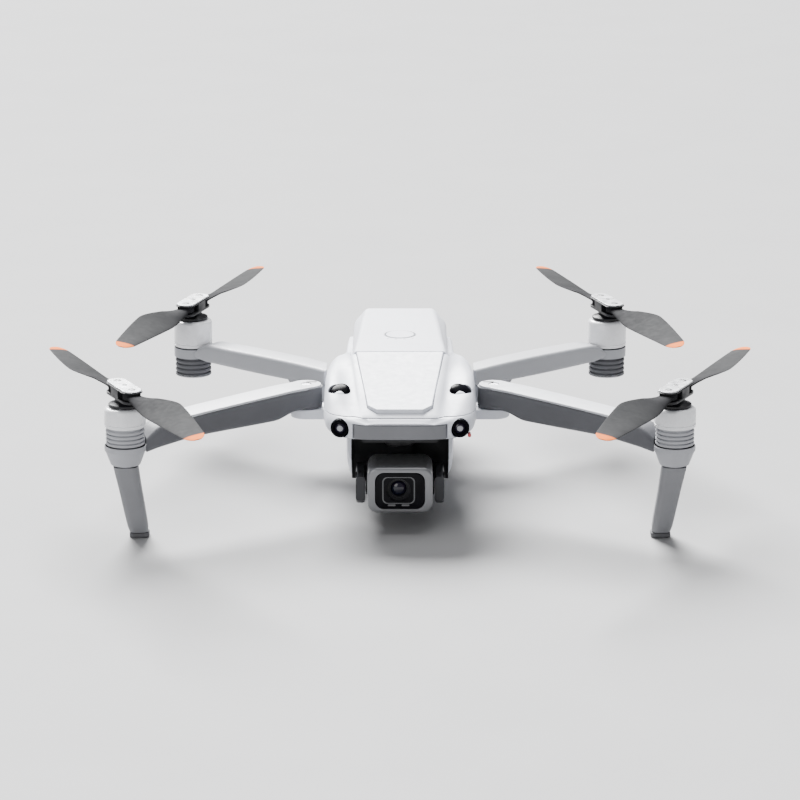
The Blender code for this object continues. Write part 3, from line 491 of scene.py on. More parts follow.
# y, then x and z of: underside, the side's low and high ends, shoulder, valley, top
HULL = (
    (NOSE_Y, 12.0, 42.6, 18.6, 43.8, 18.8, 47.3, 15.0, 49.4, 13.0, 49.7, 10.0, 50.0),
    (-71.8, 22.0, 41.9, 28.0, 43.8, 28.0, 48.2, 23.4, 50.6, 18.6, 50.8, 15.0, 52.0),
    (-63.8, 25.0, 41.6, 32.4, 44.0, 32.4, 50.4, 27.6, 53.4, 19.6, 52.6, 15.6, 54.6),
    (-51.0, 25.0, 40.8, 33.5, 43.2, 33.5, 53.6, 30.2, 58.2, 20.6, 55.6, 17.3, 58.2),
    (-28.0, 25.0, 38.0, 33.5, 41.0, 33.5, 56.0, 31.2, 61.4, 22.0, 60.0, 19.0, 62.3),
    (-10.8, 25.0, 36.0, 33.3, 40.0, 33.3, 55.0, 30.4, 61.4, 23.4, 62.6, 20.5, 65.0),
    (12.2, 25.0, 32.0, 31.4, 36.0, 31.4, 51.6, 28.4, 58.0, 25.4, 58.8, 24.4, 59.5),
    (32.2, 24.5, 28.0, 28.5, 33.0, 28.5, 45.0, 26.0, 48.8, 25.0, 49.2, 24.3, 49.5),
    (62.2, 23.5, 26.0, 25.8, 30.0, 25.8, 43.0, 25.2, 46.4, 24.8, 47.0, 24.2, 47.6),
    (98.2, 21.5, 26.0, 24.2, 30.0, 24.2, 42.0, 24.0, 45.0, 23.8, 45.5, 23.4, 46.0),
    (103.2, 18.0, 28.5, 21.6, 31.5, 21.6, 39.6, 21.4, 41.4, 21.2, 41.8, 20.8, 42.2),
)
HULL_RADII = (4.0, 4.0, 6.0, 5.0, 5.0, 3.0)
# y, then x and z of: underside, the side's low end, the side's top
KEEL = (
    (-54.8, 20.9, 27.0, 22.9, 30.0, 23.0, 46.0),
    (-45.8, 20.6, 19.0, 23.4, 24.0, 23.7, 45.0),
    (-33.8, 18.0, 12.7, 23.0, 17.4, 24.0, 45.0),
    (22.2, 19.0, 12.1, 24.0, 17.4, 25.0, 38.0),
    (72.2, 17.0, 12.1, 22.5, 17.4, 23.5, 36.0),
    (97.2, 14.0, 15.2, 19.3, 21.3, 20.8, 36.0),
    (104.0, 11.0, 23.4, 14.8, 26.4, 16.8, 34.0),
)
KEEL_RADII = (6.0, 6.0, 3.0)


def body_form(name, table, radii, spacing):
    """Solid through outlines across the body, close together, with the table's corners rounded."""
    start, end = table[0][0], table[-1][0]
    count = int((end - start) / spacing)
    rings = []
    for i in range(count + 1):
        y = start + (end - start) * i / count
        values = smooth(table, y)
        right = [Vector((values[k], y, values[k + 1])) for k in range(0, len(values), 2)]
        rings.append(filleted(right, radii))
    return loft(name, rings, SHELL)


def slab(low, high, front=-100.0, back=120.0):
    """Cutter across the whole width of the body, between two heights."""
    return block("slab", (-60, front, low), (60, back, high), SHELL)


def bay():
    """Cutter for the room that the battery slides in."""
    return block("bay", (-BAY_HALF, BAY_FRONT_Y, BAY_FLOOR), (BAY_HALF, 120, 90), SHELL)


def arc_outline(half, front, depth, bow, steps=32):
    """Plan of a band that wraps the nose: flat ahead, swept back towards its ends."""
    ahead, behind = [], []
    for i in range(steps + 1):
        x = -half + 2 * half * i / steps
        sweep = bow * abs(x / half) ** 4
        ahead.append(Vector((x, front + sweep, 0)))
        behind.append(Vector((x, front + depth + sweep, 0)))
    return ahead + behind[::-1]


def plate(name, outline, low, high, material, bevel=0.0):
    rings = [[Vector((p.x, p.y, z)) for p in outline] for z in (low, high)]
    return loft(name, rings, material, 40.0, bevel)


def panel_rings(grow, rise=0.0):
    """Sections of the sloping nose panel, grown and raised if asked: its front corners are cut off."""
    low, high = low_high("nose_panel")
    rings = []
    # share of the length from the front, then half width as a share of the full taper
    for share, pull in ((0.0, 3.6), (0.075, 0.0), (0.5, 0.0), (1.0, 0.0)):
        y = low.y - grow + (high.y - low.y + 2 * grow) * share
        half = 13.6 + 5.9 * share - pull + grow
        top = 54.6 + 11.4 * share + rise
        base = top - 2.6 - grow - rise
        rings.append(mirrored([Vector((half, y, base)), Vector((half, y, top))]))
    return rings


def forward_eye(suffix, side):
    """Centre and direction of a round window on the front face."""
    centre = middle(f"forward_sensor_{suffix}")
    return Vector((side * 26.0, centre.y - 0.3, 46.5)), Vector((side * 0.12, -1, 0)).normalized()


def upward_eye(suffix, side):
    """Centre and direction of the window on a front shoulder."""
    centre = middle(f"upward_sensor_{suffix}") + Vector((0, -1.6, -0.6))
    return centre, Vector((side * 0.25, -0.45, 1)).normalized()


def body_casing():
    """Top cover, middle frame and bottom cover: one outline, parted at the seams."""
    top = body_form("top_casing", HULL, HULL_RADII, 2.0)
    lower = body_form("middle_casing", HULL, HULL_RADII, 2.0)
    join(lower, body_form("keel_form", KEEL, KEEL_RADII, 3.0))
    belly = body_form("bottom_casing", KEEL, KEEL_RADII, 3.0)
    cut(top, slab(0, SEAM_TOP + SEAM_HALF), bay(), loft("seat", panel_rings(0.3, 6.0), SHELL))
    cut(lower, slab(SEAM_TOP - SEAM_HALF, 99), slab(-9, SEAM_LOW + SEAM_HALF, RECESS_BACK_Y + 1), bay(),
        block("recess", (-RECESS_HALF, -95, -5), (RECESS_HALF, RECESS_BACK_Y, RECESS_ROOF), SHELL),
        plate("band_seat", arc_outline(20.6, NOSE_Y - 4.0, 5.6, 1.9), 42.2, 49.3, SHELL))
    cut(belly, slab(SEAM_LOW - SEAM_HALF, 99), slab(-9, 99, back=RECESS_BACK_Y + 1.3),
        block("eyes", (-12.3, -16.1, 5), (12.3, 14.5, 13.2), SHELL))
    for suffix, side in SIDES.items():
        eye, out = forward_eye(suffix, side)
        cut(lower, rod("eye_seat", eye - out * 3, eye + out * 9, 4.3, SHELL))
        eye, out = upward_eye(suffix, side)
        cut(top, rod("eye_seat", eye - out * 3, eye + out * 9, 4.9, SHELL))
    for obj, node in ((top, "top_cover"), (lower, "middle_frame"), (belly, "bottom_cover")):
        resharpen(obj)
        dress(obj, "root", "shell", node)


def hinge_shelves():
    """Shelf under each front arm root, and the boss behind that holds a rear hinge pin."""
    for suffix, side in SIDES.items():
        hinge, radius = joint_place(f"front_fold_{suffix}"), 7.0
        outline = [Vector((side * 30.0, hinge.y - radius, 0))]
        for i in range(25):
            angle = math.radians(-90 + 180 * i / 24)
            offset = Vector((side * radius * math.cos(angle), radius * math.sin(angle), 0))
            outline.append(Vector((hinge.x, hinge.y, 0)) + offset)
        outline.append(Vector((side * 30.0, hinge.y + radius, 0)))
        dress(plate(f"front_lug_{suffix}", outline, 41.8, 46.1, SHELL, 0.6), "root", "shell")
        axis = outward_axis(f"rear_fold_{suffix}", side)
        place = joint_place(f"rear_fold_{suffix}")
        boss = rod(f"rear_boss_{suffix}", place - axis * 19.0, place - axis * 5.4, 8.0, SHELL, 64, 0.7)
        dress(boss, "root", "shell")


def recess_shade_liner():
    """Painted shade in the gimbal recess: dark sheets on its roof, back and both cheeks, a little inside the
    casing.
    """
    inner, wall = RECESS_HALF - 0.35, 0.3
    front, back_y, foot, ceiling = NOSE_Y + 8.0, RECESS_BACK_Y - 0.1, 14.0, RECESS_ROOF - 0.3
    start, end = (-inner, front, RECESS_ROOF - 0.25), (inner, back_y, RECESS_ROOF - 0.02)
    dress(block("recess_shade_roof", start, end, DARK), "root", "dark")
    start, end = (-inner, back_y - wall, foot), (inner, back_y, ceiling)
    dress(block("recess_shade_back", start, end, DARK), "root", "dark")
    for suffix, side in SIDES.items():
        x0, x1 = sorted((side * inner, side * (inner + wall)))
        # the cheek follows the casing's slanting front edge
        edge = ((back_y - 0.1, foot), (-45.8, 20.6), (-53.0, 27.6), (-55.0, 40.0), (front, ceiling),
                (back_y - 0.1, ceiling))
        outline = [Vector((x0, y, z)) for y, z in edge]
        other = [Vector((x1, p.y, p.z)) for p in outline]
        dress(loft(f"recess_shade_cheek_{suffix}", [outline, other], DARK), "root", "dark")


def nose_pieces():
    """The sloping panel on top of the nose and the grey band across its front."""
    panel = loft("nose_panel_cap", panel_rings(0.0), SHELL, 30.0, 0.5)
    dress(panel, "root", "shell", "nose_panel")
    band = plate("nose_band_cap", arc_outline(20.3, NOSE_Y + 0.15, 1.4, 1.9), 42.5, 49.0, NOSE_GREY, 0.5)
    dress(band, "root", "nose_grey", "nose_band")


FORWARD_RING = ((2.4, -1.5), (4.05, -1.5), (4.05, 1.0), (3.7, 1.4), (2.9, 1.4), (2.4, 0.6), (2.4, -1.5))
FORWARD_PUPIL = ((0, -1.0), (2.35, -1.0), (2.3, 0.1), (1.6, 0.55), (0.8, 0.8), (0, 0.85))
FORWARD_GLINT = ((0, 0.5), (1.35, 0.5), (1.2, 0.85), (0.7, 1.05), (0, 1.12))
UPWARD_DOME = ((0, -2.4), (4.8, -2.4), (4.8, 1.7), (4.3, 2.5), (2.9, 3.05), (1.3, 3.25), (0, 3.3))
UPWARD_LID = ((0, -3.4), (3.7, -3.4), (3.7, -0.9), (3.3, 0.4), (2.3, 1.3), (1.15, 1.75), (0, 1.9))


def eyes():
    """Round windows in front, and domes on the shoulders, each half hidden by a pale lid."""
    for suffix, side in SIDES.items():
        centre, out = forward_eye(suffix, side)
        ring = turned(f"forward_ring_{suffix}", FORWARD_RING, centre - out * 0.2, out, LENS)
        dress(ring, "root", "lens", f"forward_sensor_{suffix}")
        dress(turned(f"forward_pupil_{suffix}", FORWARD_PUPIL, centre, out, COATED, 48), "root", "lens")
        glint = turned(f"forward_glint_{suffix}", FORWARD_GLINT, centre, out, ARM_LIGHT, 32)
        dress(glint, "root", "nose_grey")
        centre, out = upward_eye(suffix, side)
        dome = turned(f"upward_lens_{suffix}", UPWARD_DOME, centre - out * 0.4, out, LENS)
        dress(dome, "root", "lens", f"upward_sensor_{suffix}")
        lid_place = centre + Vector((0, -4.1, -1.3))
        lid_out = Vector((side * 0.12, -0.9, 0.45)).normalized()
        dress(turned(f"upward_lid_{suffix}", UPWARD_LID, lid_place, lid_out, SHELL), "root", "shell")


def inner_nodes():
    """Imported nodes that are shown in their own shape."""
    carry("main_board", BOARD, 0.2)
    carry("heat_sink", SINK, 0.15)
    carry("cooling_fan", DARK, 0.2)
    carry("downward_sensor", DARK, 0.15)
    carry("rear_sensor", LENS)
    carry("status_light", LIGHT_RED)
    carry("port_cover", ARM_LIGHT, 0.25)
    carry("gimbal_plate", DARK)
    for suffix in SIDES:
        carry(f"front_hinge_pin_{suffix}", STEEL, 0.3)
        carry(f"rear_hinge_pin_{suffix}", STEEL, 0.3)
        carry(f"rear_foot_{suffix}", RUBBER, 0.5)


# ---- battery

# The top falls this much from the front of the pack to where its tail rounds off
PACK_FALL = 5.9
PACK_TAIL_Y = PACK_HIGH.y - 1.5
PACK_RADII = (0.5, 1.0, 2.4, 1.6)
LIGHT_PROFILE = ((0, -0.3), (0.55, -0.3), (0.55, 0.05), (0.4, 0.12), (0, 0.14))


def pack_top(y):
    return PACK_HIGH.z - PACK_FALL * (y - PACK_LOW.y) / (PACK_TAIL_Y - PACK_LOW.y)


def oval_rings(button, grow, low, high):
    """Two outlines of the power button on the sloping top, at heights above it."""
    slope = -PACK_FALL / (PACK_TAIL_Y - PACK_LOW.y)
    rings = []
    for height in (low, high):
        ring = []
        for i in range(72):
            angle = math.tau * i / 72
            x, dy = (6.4 + grow) * math.cos(angle), (8.6 + grow) * math.sin(angle)
            ring.append(Vector((x, button.y + dy, pack_top(button.y) + slope * dy + height)))
        rings.append(ring)
    return rings


def battery():
    """Pack with a sloping, bevelled top, its button, charge lights and latches."""
    low, high, side = PACK_LOW, PACK_HIGH, PACK_HIGH.x
    # y, then how far the top drops and the half width of its flat
    table = ((low.y, 0.0, 20.4), (low.y + 30, 0.0, 19.2), (94.0, 0.0, 15.9), (high.y, 3.2, 14.0))
    rings = []
    for i in range(57):
        y = low.y + (high.y - low.y) * i / 56
        drop, flat = smooth(table, y)
        crest = pack_top(min(y, PACK_TAIL_Y)) - drop
        corners = ((side - 0.6, low.z), (side, low.z + 1.2), (side, crest - 7.0), (flat, crest))
        rings.append(filleted([Vector((x, y, z)) for x, z in corners], PACK_RADII))
    pack = loft("battery_casing", rings, BATTERY, 40.0)
    pockets = []
    room = Vector((0, 0.3, 0.3))
    for suffix, sign in SIDES.items():
        start, end = low_high(f"battery_latch_{suffix}")
        start, end = start - room, end + room
        start.x, end.x = sorted((sign * (side - 3.8), sign * (side + 6)))
        pockets.append(block("pocket", start, end, BATTERY))
    button = middle("power_button")
    pockets.append(loft("well", oval_rings(button, 0.45, -1.6, 6.0), DARK))
    cut(pack, *pockets)
    dress(resharpen(pack), "battery", "shell", "battery_pack")
    cap = loft("power_button_cap", oval_rings(button, 0.0, -0.9, 0.25), BATTERY, 40.0, 0.2)
    dress(cap, "power_button", "shell", "power_button")
    outer, inner = (oval_rings(button, grow, -0.05, 0.08) for grow in (0.95, 0.5))
    ring = closed_band("power_button_ring", (outer[0], outer[1], inner[1], inner[0]), NOSE_GREY)
    dress(ring, "battery", "nose_grey")
    for i in range(4):
        # charge lights round the front of the button
        angle = math.radians(-126 + 24 * i)
        y = button.y + 11.4 * math.sin(angle)
        place = Vector((9.6 * math.cos(angle), y, pack_top(y)))
        dress(turned(f"charge_light_{i + 1}", LIGHT_PROFILE, place, UP, PALE_MARK, 24), "battery", "silver")
    for suffix, sign in SIDES.items():
        low, high = low_high(f"battery_latch_{suffix}")
        latch = block(f"latch_cap_{suffix}", low, high, ARM_LIGHT, 0.3)
        x = low.x if sign < 0 else high.x
        grooves = []
        for i in range(5):
            y = low.y + 3.0 + i * 2.0
            start, end = (x - 0.25, y, low.z + 0.9), (x + 0.25, y + 0.7, high.z - 0.9)
            grooves.append(block("groove", start, end, ARM))
        cut(latch, *grooves)
        dress(latch, f"battery_latch_{suffix}", "arm_grey", f"battery_latch_{suffix}")


# ---- arms and legs

def beam(name, centre_line, across, stations, material, corner=2.4):
    """A beam of rounded-rectangle sections: stations are (distance, low, high, half width)."""
    origin, along = centre_line
    start, end = stations[0][0], stations[-1][0]
    rings = []
    for i in range(49):
        distance = start + (end - start) * i / 48
        low, high, half = smooth(stations, distance)
        centre = Vector((origin.x, origin.y, (low + high) / 2)) + along * distance
        radius = min(corner, half * 0.9, (high - low) * 0.45)
        rings.append(rounded_ring(centre, across, UP, half, (high - low) / 2, radius, 8))
    return loft(name, rings, material, 50.0)


def arm_line(end, suffix):
    """From an arm's hinge to its hub: the hinge, the level direction, the crosswise one and the length."""
    hinge, hub = joint_place(f"{end}_fold_{suffix}"), hub_place(end, suffix)
    along = Vector((hub.x - hinge.x, hub.y - hinge.y, 0))
    length = along.length
    along.normalize()
    return hinge, along, along.cross(UP), length


PIN_HOLE = 2.4
BELL_ROOM = 9.7
FRONT_POD = ((0, 35.0), (5.6, 35.0), (6.4, 35.4), (7.4, 38.0), (8.5, 41.0), (8.85, 42.4), (8.85, 43.9),
             (0, 43.9))
FRONT_COLLAR = ((6.0, 41.6), (8.95, 41.6), (9.0, 42.2), (9.0, 43.6), (8.7, 43.9), (6.0, 43.9), (6.0, 41.6))


def front_arm(suffix, side):
    """Dark beam with a light strip on top, and the round pod that carries the motor. The arm is one grey:
    the beam's darker grey is painted shade and the strip's lighter grey is painted light.
    """
    hinge, along, across, length = arm_line("front", suffix)
    hub = hub_place("front", suffix)
    body = f"front_arm_{suffix}"
    line = (hinge, along)
    stations = (
        (0.0, 46.6, 55.6, 7.1), (length * 0.10, 46.4, 55.6, 7.15), (length * 0.22, 43.7, 55.2, 7.2),
        (length * 0.62, 43.4, 53.2, 6.9), (length * 0.84, 41.4, 51.0, 6.5), (length * 0.97, 39.6, 43.6, 6.2),
    )
    # the beam in the darker copy of the arm grey: painted shade on its sides
    arm = beam(f"front_beam_{suffix}", line, across, stations, ARM)
    join(arm, upright("root", hinge, 46.75, 55.6, 7.15, ARM))
    cut(arm, upright("pod_room", hub, 30, 60, 9.0, ARM),
        upright("pin", hinge, hinge.z - 9, hinge.z + 9, PIN_HOLE, ARM, 32))
    floor = Vector((hub.x, hub.y, 0))
    dress(turned(f"front_pod_{suffix}", FRONT_POD, floor, UP, ARM_LIGHT, 72), body, "arm_grey")
    dress(resharpen(arm), body, "arm_grey", f"front_arm_{suffix}")
    # the light upper shell, its lighter grey painted light: a strip on top of the beam, round at the hinge
    strip = ((-0.2, 55.2, 56.45, 6.4), (length * 0.10, 55.2, 56.4, 6.5), (length * 0.22, 54.8, 55.95, 6.55),
             (length * 0.62, 52.8, 53.95, 6.3), (length * 0.80, 51.0, 52.9, 5.9))
    cap = beam(f"front_top_{suffix}", line, across, strip, ARM_TOP, 0.6)
    join(cap, upright("round", hinge, 55.25, 56.45, 6.45, ARM_TOP))
    cut(cap, upright("pin", hinge, hinge.z - 9, hinge.z + 9, PIN_HOLE, ARM, 32),
        upright("clear", hub, 43.85, 60, BELL_ROOM, ARM))
    dress(resharpen(cap), body, "arm_grey")
    notch = hinge + Vector((-side * 2.3, 3.3, 56.5 - hinge.z))
    start, end = notch - Vector((2.5, 1.2, 0.5)), notch + Vector((2.5, 1.2, 0.0))
    dress(pillow(f"front_slot_{suffix}", start, end, "Z", 1.1, 0.1, DARK), body, "dark")
    dress(turned(f"front_collar_{suffix}", FRONT_COLLAR, floor, UP, ARM_LIGHT, 72), body, "arm_grey")


def leg(suffix, side):
    """Landing leg that tapers and leans from under the hub to its pad."""
    body = f"front_arm_{suffix}"
    low, high = low_high(f"landing_leg_{suffix}")
    hub = hub_place("front", suffix)
    top = Vector((hub.x, hub.y, high.z))
    pad_middle = middle(f"foot_pad_{suffix}")
    foot = Vector((pad_middle.x + side * 0.2, pad_middle.y - 0.5, low.z))
    rings = []
    # share of the way down, then half width and half depth
    table = ((0.0, 5.2, 5.6), (0.3, 4.9, 5.0), (0.93, 4.4, 4.2), (1.0, 4.0, 3.8))
    for i in range(25):
        share = i / 24
        half_x, half_y = smooth(table, share)
        rings.append(rounded_ring(top.lerp(foot, share), X, Y, half_x, half_y, 2.9, 8))
    dress(loft(f"leg_{suffix}", rings, LEG, 50.0), body, "arm_grey", f"landing_leg_{suffix}")
    pad_low, pad_high = low_high(f"foot_pad_{suffix}")
    pad = pillow(f"pad_{suffix}", pad_low, pad_high, "Z", 2.4, 0.5, PAD_RUBBER)
    dress(pad, body, "rubber", f"foot_pad_{suffix}")


def rear_arm(suffix, side):
    """Beam that stands on its hinge knuckle by a short neck, with a ring for the motor."""
    hinge, along, across, length = arm_line("rear", suffix)
    hub = hub_place("rear", suffix)
    axis = outward_axis(f"rear_fold_{suffix}", side)
    stations = (
        (-13.0, 40.2, 47.6, 6.2), (-4.0, 39.8, 48.0, 6.5), (8.0, 39.4, 48.4, 6.7),
        (22.0, 39.3, 48.5, 6.7), (length - 14, 39.7, 48.0, 6.5), (length - 3, 40.7, 44.4, 6.3),
    )
    neck = ((-4.6, 33.4, 44.0, 4.6), (3.0, 33.4, 45.0, 5.0), (7.0, 36.0, 45.5, 5.6), (12.0, 41.0, 46.0, 6.3))
    arm = beam(f"rear_beam_{suffix}", (hinge, along), across, stations, REAR_ARM, 2.2)
    inner = sorted((side * 20.0, side * 33.6))
    cut(arm, block("inner_end", (inner[0], 0, 30), (inner[1], 60, 60), REAR_ARM))
    join(arm, beam("neck", (hinge, along), across, neck, REAR_ARM, 2.2),
         rod("knuckle", hinge - axis * 5, hinge + axis * 5, 8.9, REAR_ARM, 64),
         upright("pod", hub, 40.1, 44.6, 8.9, REAR_ARM))
    cut(arm, rod("pin", hinge - axis * 12, hinge + axis * 12, PIN_HOLE, ARM, 32),
        upright("clear", hub, 44.55, 60, BELL_ROOM, ARM),
        upright("seat", hub, 30, 60, 7.3, ARM),
        upright("under", hub, 30, 40.15, 9.3, ARM))
    dress(resharpen(arm), f"rear_arm_{suffix}", "arm_grey", f"rear_arm_{suffix}")


# ---- motors and propellers

def ribs(bottom, top, count, outer, inner):
    """Profile of rounded cooling ribs between two heights."""
    pitch = (top - bottom) / count
    points = []
    for i in range(count):
        z = bottom + i * pitch
        points += [(inner, z), (outer - 0.25, z), (outer, z + pitch * 0.18), (outer, z + pitch * 0.5),
                   (outer - 0.25, z + pitch * 0.68), (inner, z + pitch * 0.68)]
    return points + [(inner, top)]


RIBS_TOP = {"front": 51.6, "rear": 39.7}
RIB_RADIUS = 8.4
BELL_RADIUS = 9.0
REAR_RIM = ((6.5, 31.0), (8.2, 31.0), (8.4, 31.25), (8.4, 32.1), (6.5, 32.1), (6.5, 31.0))


def motor(end, suffix):
    """Fixed base with cooling ribs, and the bell that turns round it."""
    hub = hub_place(end, suffix)
    floor = Vector((hub.x, hub.y, 0))
    low, high = (corner.z for corner in low_high(f"{end}_motor_bell_{suffix}"))
    foot, roof = (corner.z for corner in low_high(f"{end}_motor_base_{suffix}"))
    arm = f"{end}_arm_{suffix}"
    ribs_top = RIBS_TOP[end]
    profile = [(0, foot)] + ribs(foot, ribs_top, 4, RIB_RADIUS, RIB_RADIUS - 0.9)
    if end == "rear":
        profile += [(7.0, ribs_top), (7.0, 44.9), (6.2, 44.9)]
    profile += [(6.2, roof), (1.5, roof), (1.5, roof - 11.0), (0, roof - 11.0)]
    tone = ARM_LIGHT if end == "front" else ARM
    base = turned(f"{end}_stator_{suffix}", profile, floor, UP, tone, 72)
    dress(base, arm, "arm_grey", f"{end}_motor_base_{suffix}")
    if end == "rear":
        dress(turned(f"rear_rim_{suffix}", REAR_RIM, floor, UP, ARM_TOP, 72), arm, "silver")
    radius, ceiling = BELL_RADIUS, high - 1.4
    can = ((0, low + 1.2), (1.2, low + 1.2), (1.2, ceiling), (radius - 1.4, ceiling), (radius - 1.4, low),
           (radius - 0.35, low), (radius - 0.05, low + 0.3), (radius - 0.05, low + 1.3),
           (radius - 0.4, low + 1.5), (radius - 0.4, low + 1.8), (radius, low + 2.0), (radius, high - 1.3),
           (radius - 0.35, high - 0.5), (radius - 1.2, high - 0.05), (radius - 1.8, high), (0, high))
    bell = turned(f"{end}_bell_{suffix}", can, floor, UP, BELL, 80)
    dress(bell, f"{end}_rotor_{suffix}", "silver", f"{end}_motor_bell_{suffix}")


def bar_outline(half_length, half_width, steps=14):
    """Plan of a flat bar with round ends, along X."""
    outline = []
    for start, centre in ((-90, half_length - half_width), (90, half_width - half_length)):
        for i in range(steps + 1):
            angle = math.radians(start + 180 * i / steps)
            outline.append(Vector((centre + half_width * math.cos(angle), half_width * math.sin(angle), 0)))
    return outline


def rotor_frame(end, suffix):
    """Takes +X to the first blade's pivot, about the hub."""
    hub = hub_place(end, suffix)
    out = joint_place(f"{end}_blade_1_fold_{suffix}") - hub
    return Matrix.Translation(hub) @ Matrix.Rotation(math.atan2(out.y, out.x), 4, "Z")


def moved(obj, matrix):
    """Moves a piece's mesh by a matrix in millimetres."""
    scaled = matrix.copy()
    scaled.translation = matrix.translation * MM
    obj.data.transform(scaled)
    return obj


HUB_NECK = ((0, -6.4), (6.7, -6.4), (7.0, -6.1), (7.0, -5.3), (6.7, -5.0), (4.6, -4.4), (4.2, -3.6),
            (4.2, -2.5), (0, -2.5))
# How far a blade's pivot is from its hub
PIVOT_RADIUS = 8.7


def prop_hub(end, suffix):
    """Propeller clamp: black disc, neck and fork, with a light metal plate on top."""
    turn = rotor_frame(end, suffix)
    rotor = f"{end}_rotor_{suffix}"
    bar = moved(plate(f"{end}_clamp_{suffix}", bar_outline(13.4, 4.7), -2.9, 2.1, DARK, 0.35), turn)
    settle(bar)
    join(bar, turned("neck", HUB_NECK, hub_place(end, suffix), UP, DARK))
    for half_turn in (0.0, math.pi):
        local = turn @ Matrix.Rotation(half_turn, 4, "Z")
        cut(bar, moved(block("slot", (4.2, -9, -1.75), (15, 9, 1.75), DARK), local))
        pin = upright("pin", X * PIVOT_RADIUS, -2.5, 2.0, 1.2, DARK, 24)
        join(bar, moved(pin, local))
    dress(resharpen(bar), rotor, "dark", f"{end}_prop_hub_{suffix}")
    top = moved(plate(f"{end}_clamp_plate_{suffix}", bar_outline(13.0, 4.3), 2.1, 2.8, SILVER, 0.25), turn)
    dress(settle(top), rotor, "silver")
    for number, (x, radius) in enumerate(((PIVOT_RADIUS, 1.7), (-PIVOT_RADIUS, 1.7), (0, 1.2))):
        head = ((0, 2.7), (radius, 2.7), (radius, 2.82), (radius - 0.15, 2.9), (radius * 0.45, 2.9),
                (radius * 0.4, 2.75), (0, 2.75))
        screw = turned(f"{end}_screw_{number + 1}_{suffix}", head, X * x, UP, DARK, 32)
        dress(moved(screw, turn), rotor, "dark")


def blade_section(share):
    """Chord, its middle's offset, twist in degrees and thickness at a share of a blade's span."""
    widest = 0.36
    chord = 7.0 + 9.5 * math.sin(math.pi / 2 * min(share / widest, 1.0)) ** 2
    if share > widest:
        chord -= 8.4 * ((share - widest) / (1 - widest)) ** 1.25
    offset = -0.35 * (chord - 7.0)
    twist = (20.0 - 10.0 * share) * min(share / 0.16, 1.0)
    return chord, offset, twist, 2.6 - 1.5 * min(share / 0.35, 1.0)


def aerofoil(count=32):
    """Outline of chord 1 and thickness 1: round nose, thin tail, a little camber."""
    points = []
    for i in range(count):
        angle = math.tau * i / count
        u = 0.5 * math.cos(angle)
        taper = 0.62 + 0.38 * math.cos(angle - math.pi * 0.25) ** 2
        points.append((u, 0.5 * math.sin(angle) * (taper if math.sin(angle) > 0 else taper * 0.8)))
    return points


# Turn from the first blade's direction to the second's, on the right-hand side, in degrees
BLADE_SPLAY = {"front": 180.5, "rear": -180.0}
# The wing runs from this far outside its pivot to the rotor's radius at the tip
WING_START = 2.2
TIP_RADIUS = 85.7
WING_SPAN = TIP_RADIUS - PIVOT_RADIUS - WING_START
# Share of the span from which the tip closes
TIP_SHARE = 0.90
BLADE_EYE = ((0, -1.4), (3.6, -1.4), (3.9, -1.1), (3.9, 1.1), (3.6, 1.4), (0, 1.4))


def blade(end, suffix, number):
    """One folding blade, from a round eye on its pivot to its rounded tip."""
    hub = hub_place(end, suffix)
    pivot = joint_place(f"{end}_blade_{number}_fold_{suffix}")
    node = f"{end}_blade_{number}_{suffix}"
    side = SIDES[suffix]
    toward = joint_place(f"{end}_blade_1_fold_{suffix}") - hub
    if number == 2:
        toward = Matrix.Rotation(math.radians(side * BLADE_SPLAY[end]), 3, "Z") @ toward
    # the rotors at the front and at the rear of one side turn opposite ways
    handed = side if end == "front" else -side
    turn = Matrix.Rotation(math.atan2(toward.y, toward.x), 4, "Z")
    place = Matrix.Translation((pivot.x, pivot.y, hub.z)) @ turn
    bm = bmesh.new()
    layer = bm.verts.layers.float.new("SPAN")
    steps = 64
    shares = [i / steps for i in range(steps + 1)]
    rings = []
    for share in shares:
        chord, offset, twist, thickness = blade_section(share)
        closing = max(0.0, (share - TIP_SHARE) / (1 - TIP_SHARE))
        roundness = math.sqrt(max(0.0, 1 - (closing * 0.97) ** 2))
        chord, thickness = chord * (0.25 + 0.75 * roundness), thickness * (0.4 + 0.6 * roundness)
        tilt = Matrix.Rotation(math.radians(-twist * handed), 3, "X")
        centre = Vector((WING_START + WING_SPAN * share, handed * offset, 0))
        rings.append([centre + tilt @ Vector((0, handed * u * chord, v * thickness)) for u, v in aerofoil()])
    for share, row in zip(shares, bridge(bm, rings)):
        for vert in row:
            vert[layer] = share
    wing = piece(f"{node}_wing", bm, BLADE, 60.0)
    eye = turned("eye", BLADE_EYE, Vector(), UP, BLADE, 48)
    join(moved(wing, place), moved(eye, place))
    cut(wing, upright("hole", pivot, hub.z - 4, hub.z + 4, 1.5, BLADE, 24))
    dress(resharpen(wing, 50.0), node, "blade", node)


# ---- gimbal and camera

# y, then the low and high edges of a yoke side
YOKE_SIDE = ((-70.0, 13.6, 24.4), (-67.0, 11.8, 25.2), (-60.0, 11.5, 25.4), (-51.8, 13.4, 25.2),
             (-44.55, 16.2, 24.2))
TILT_CAP = ((0, 0), (5.4, 0), (5.4, 0.03), (5.0, 0.05), (4.2, 0.05), (0, 0.05))


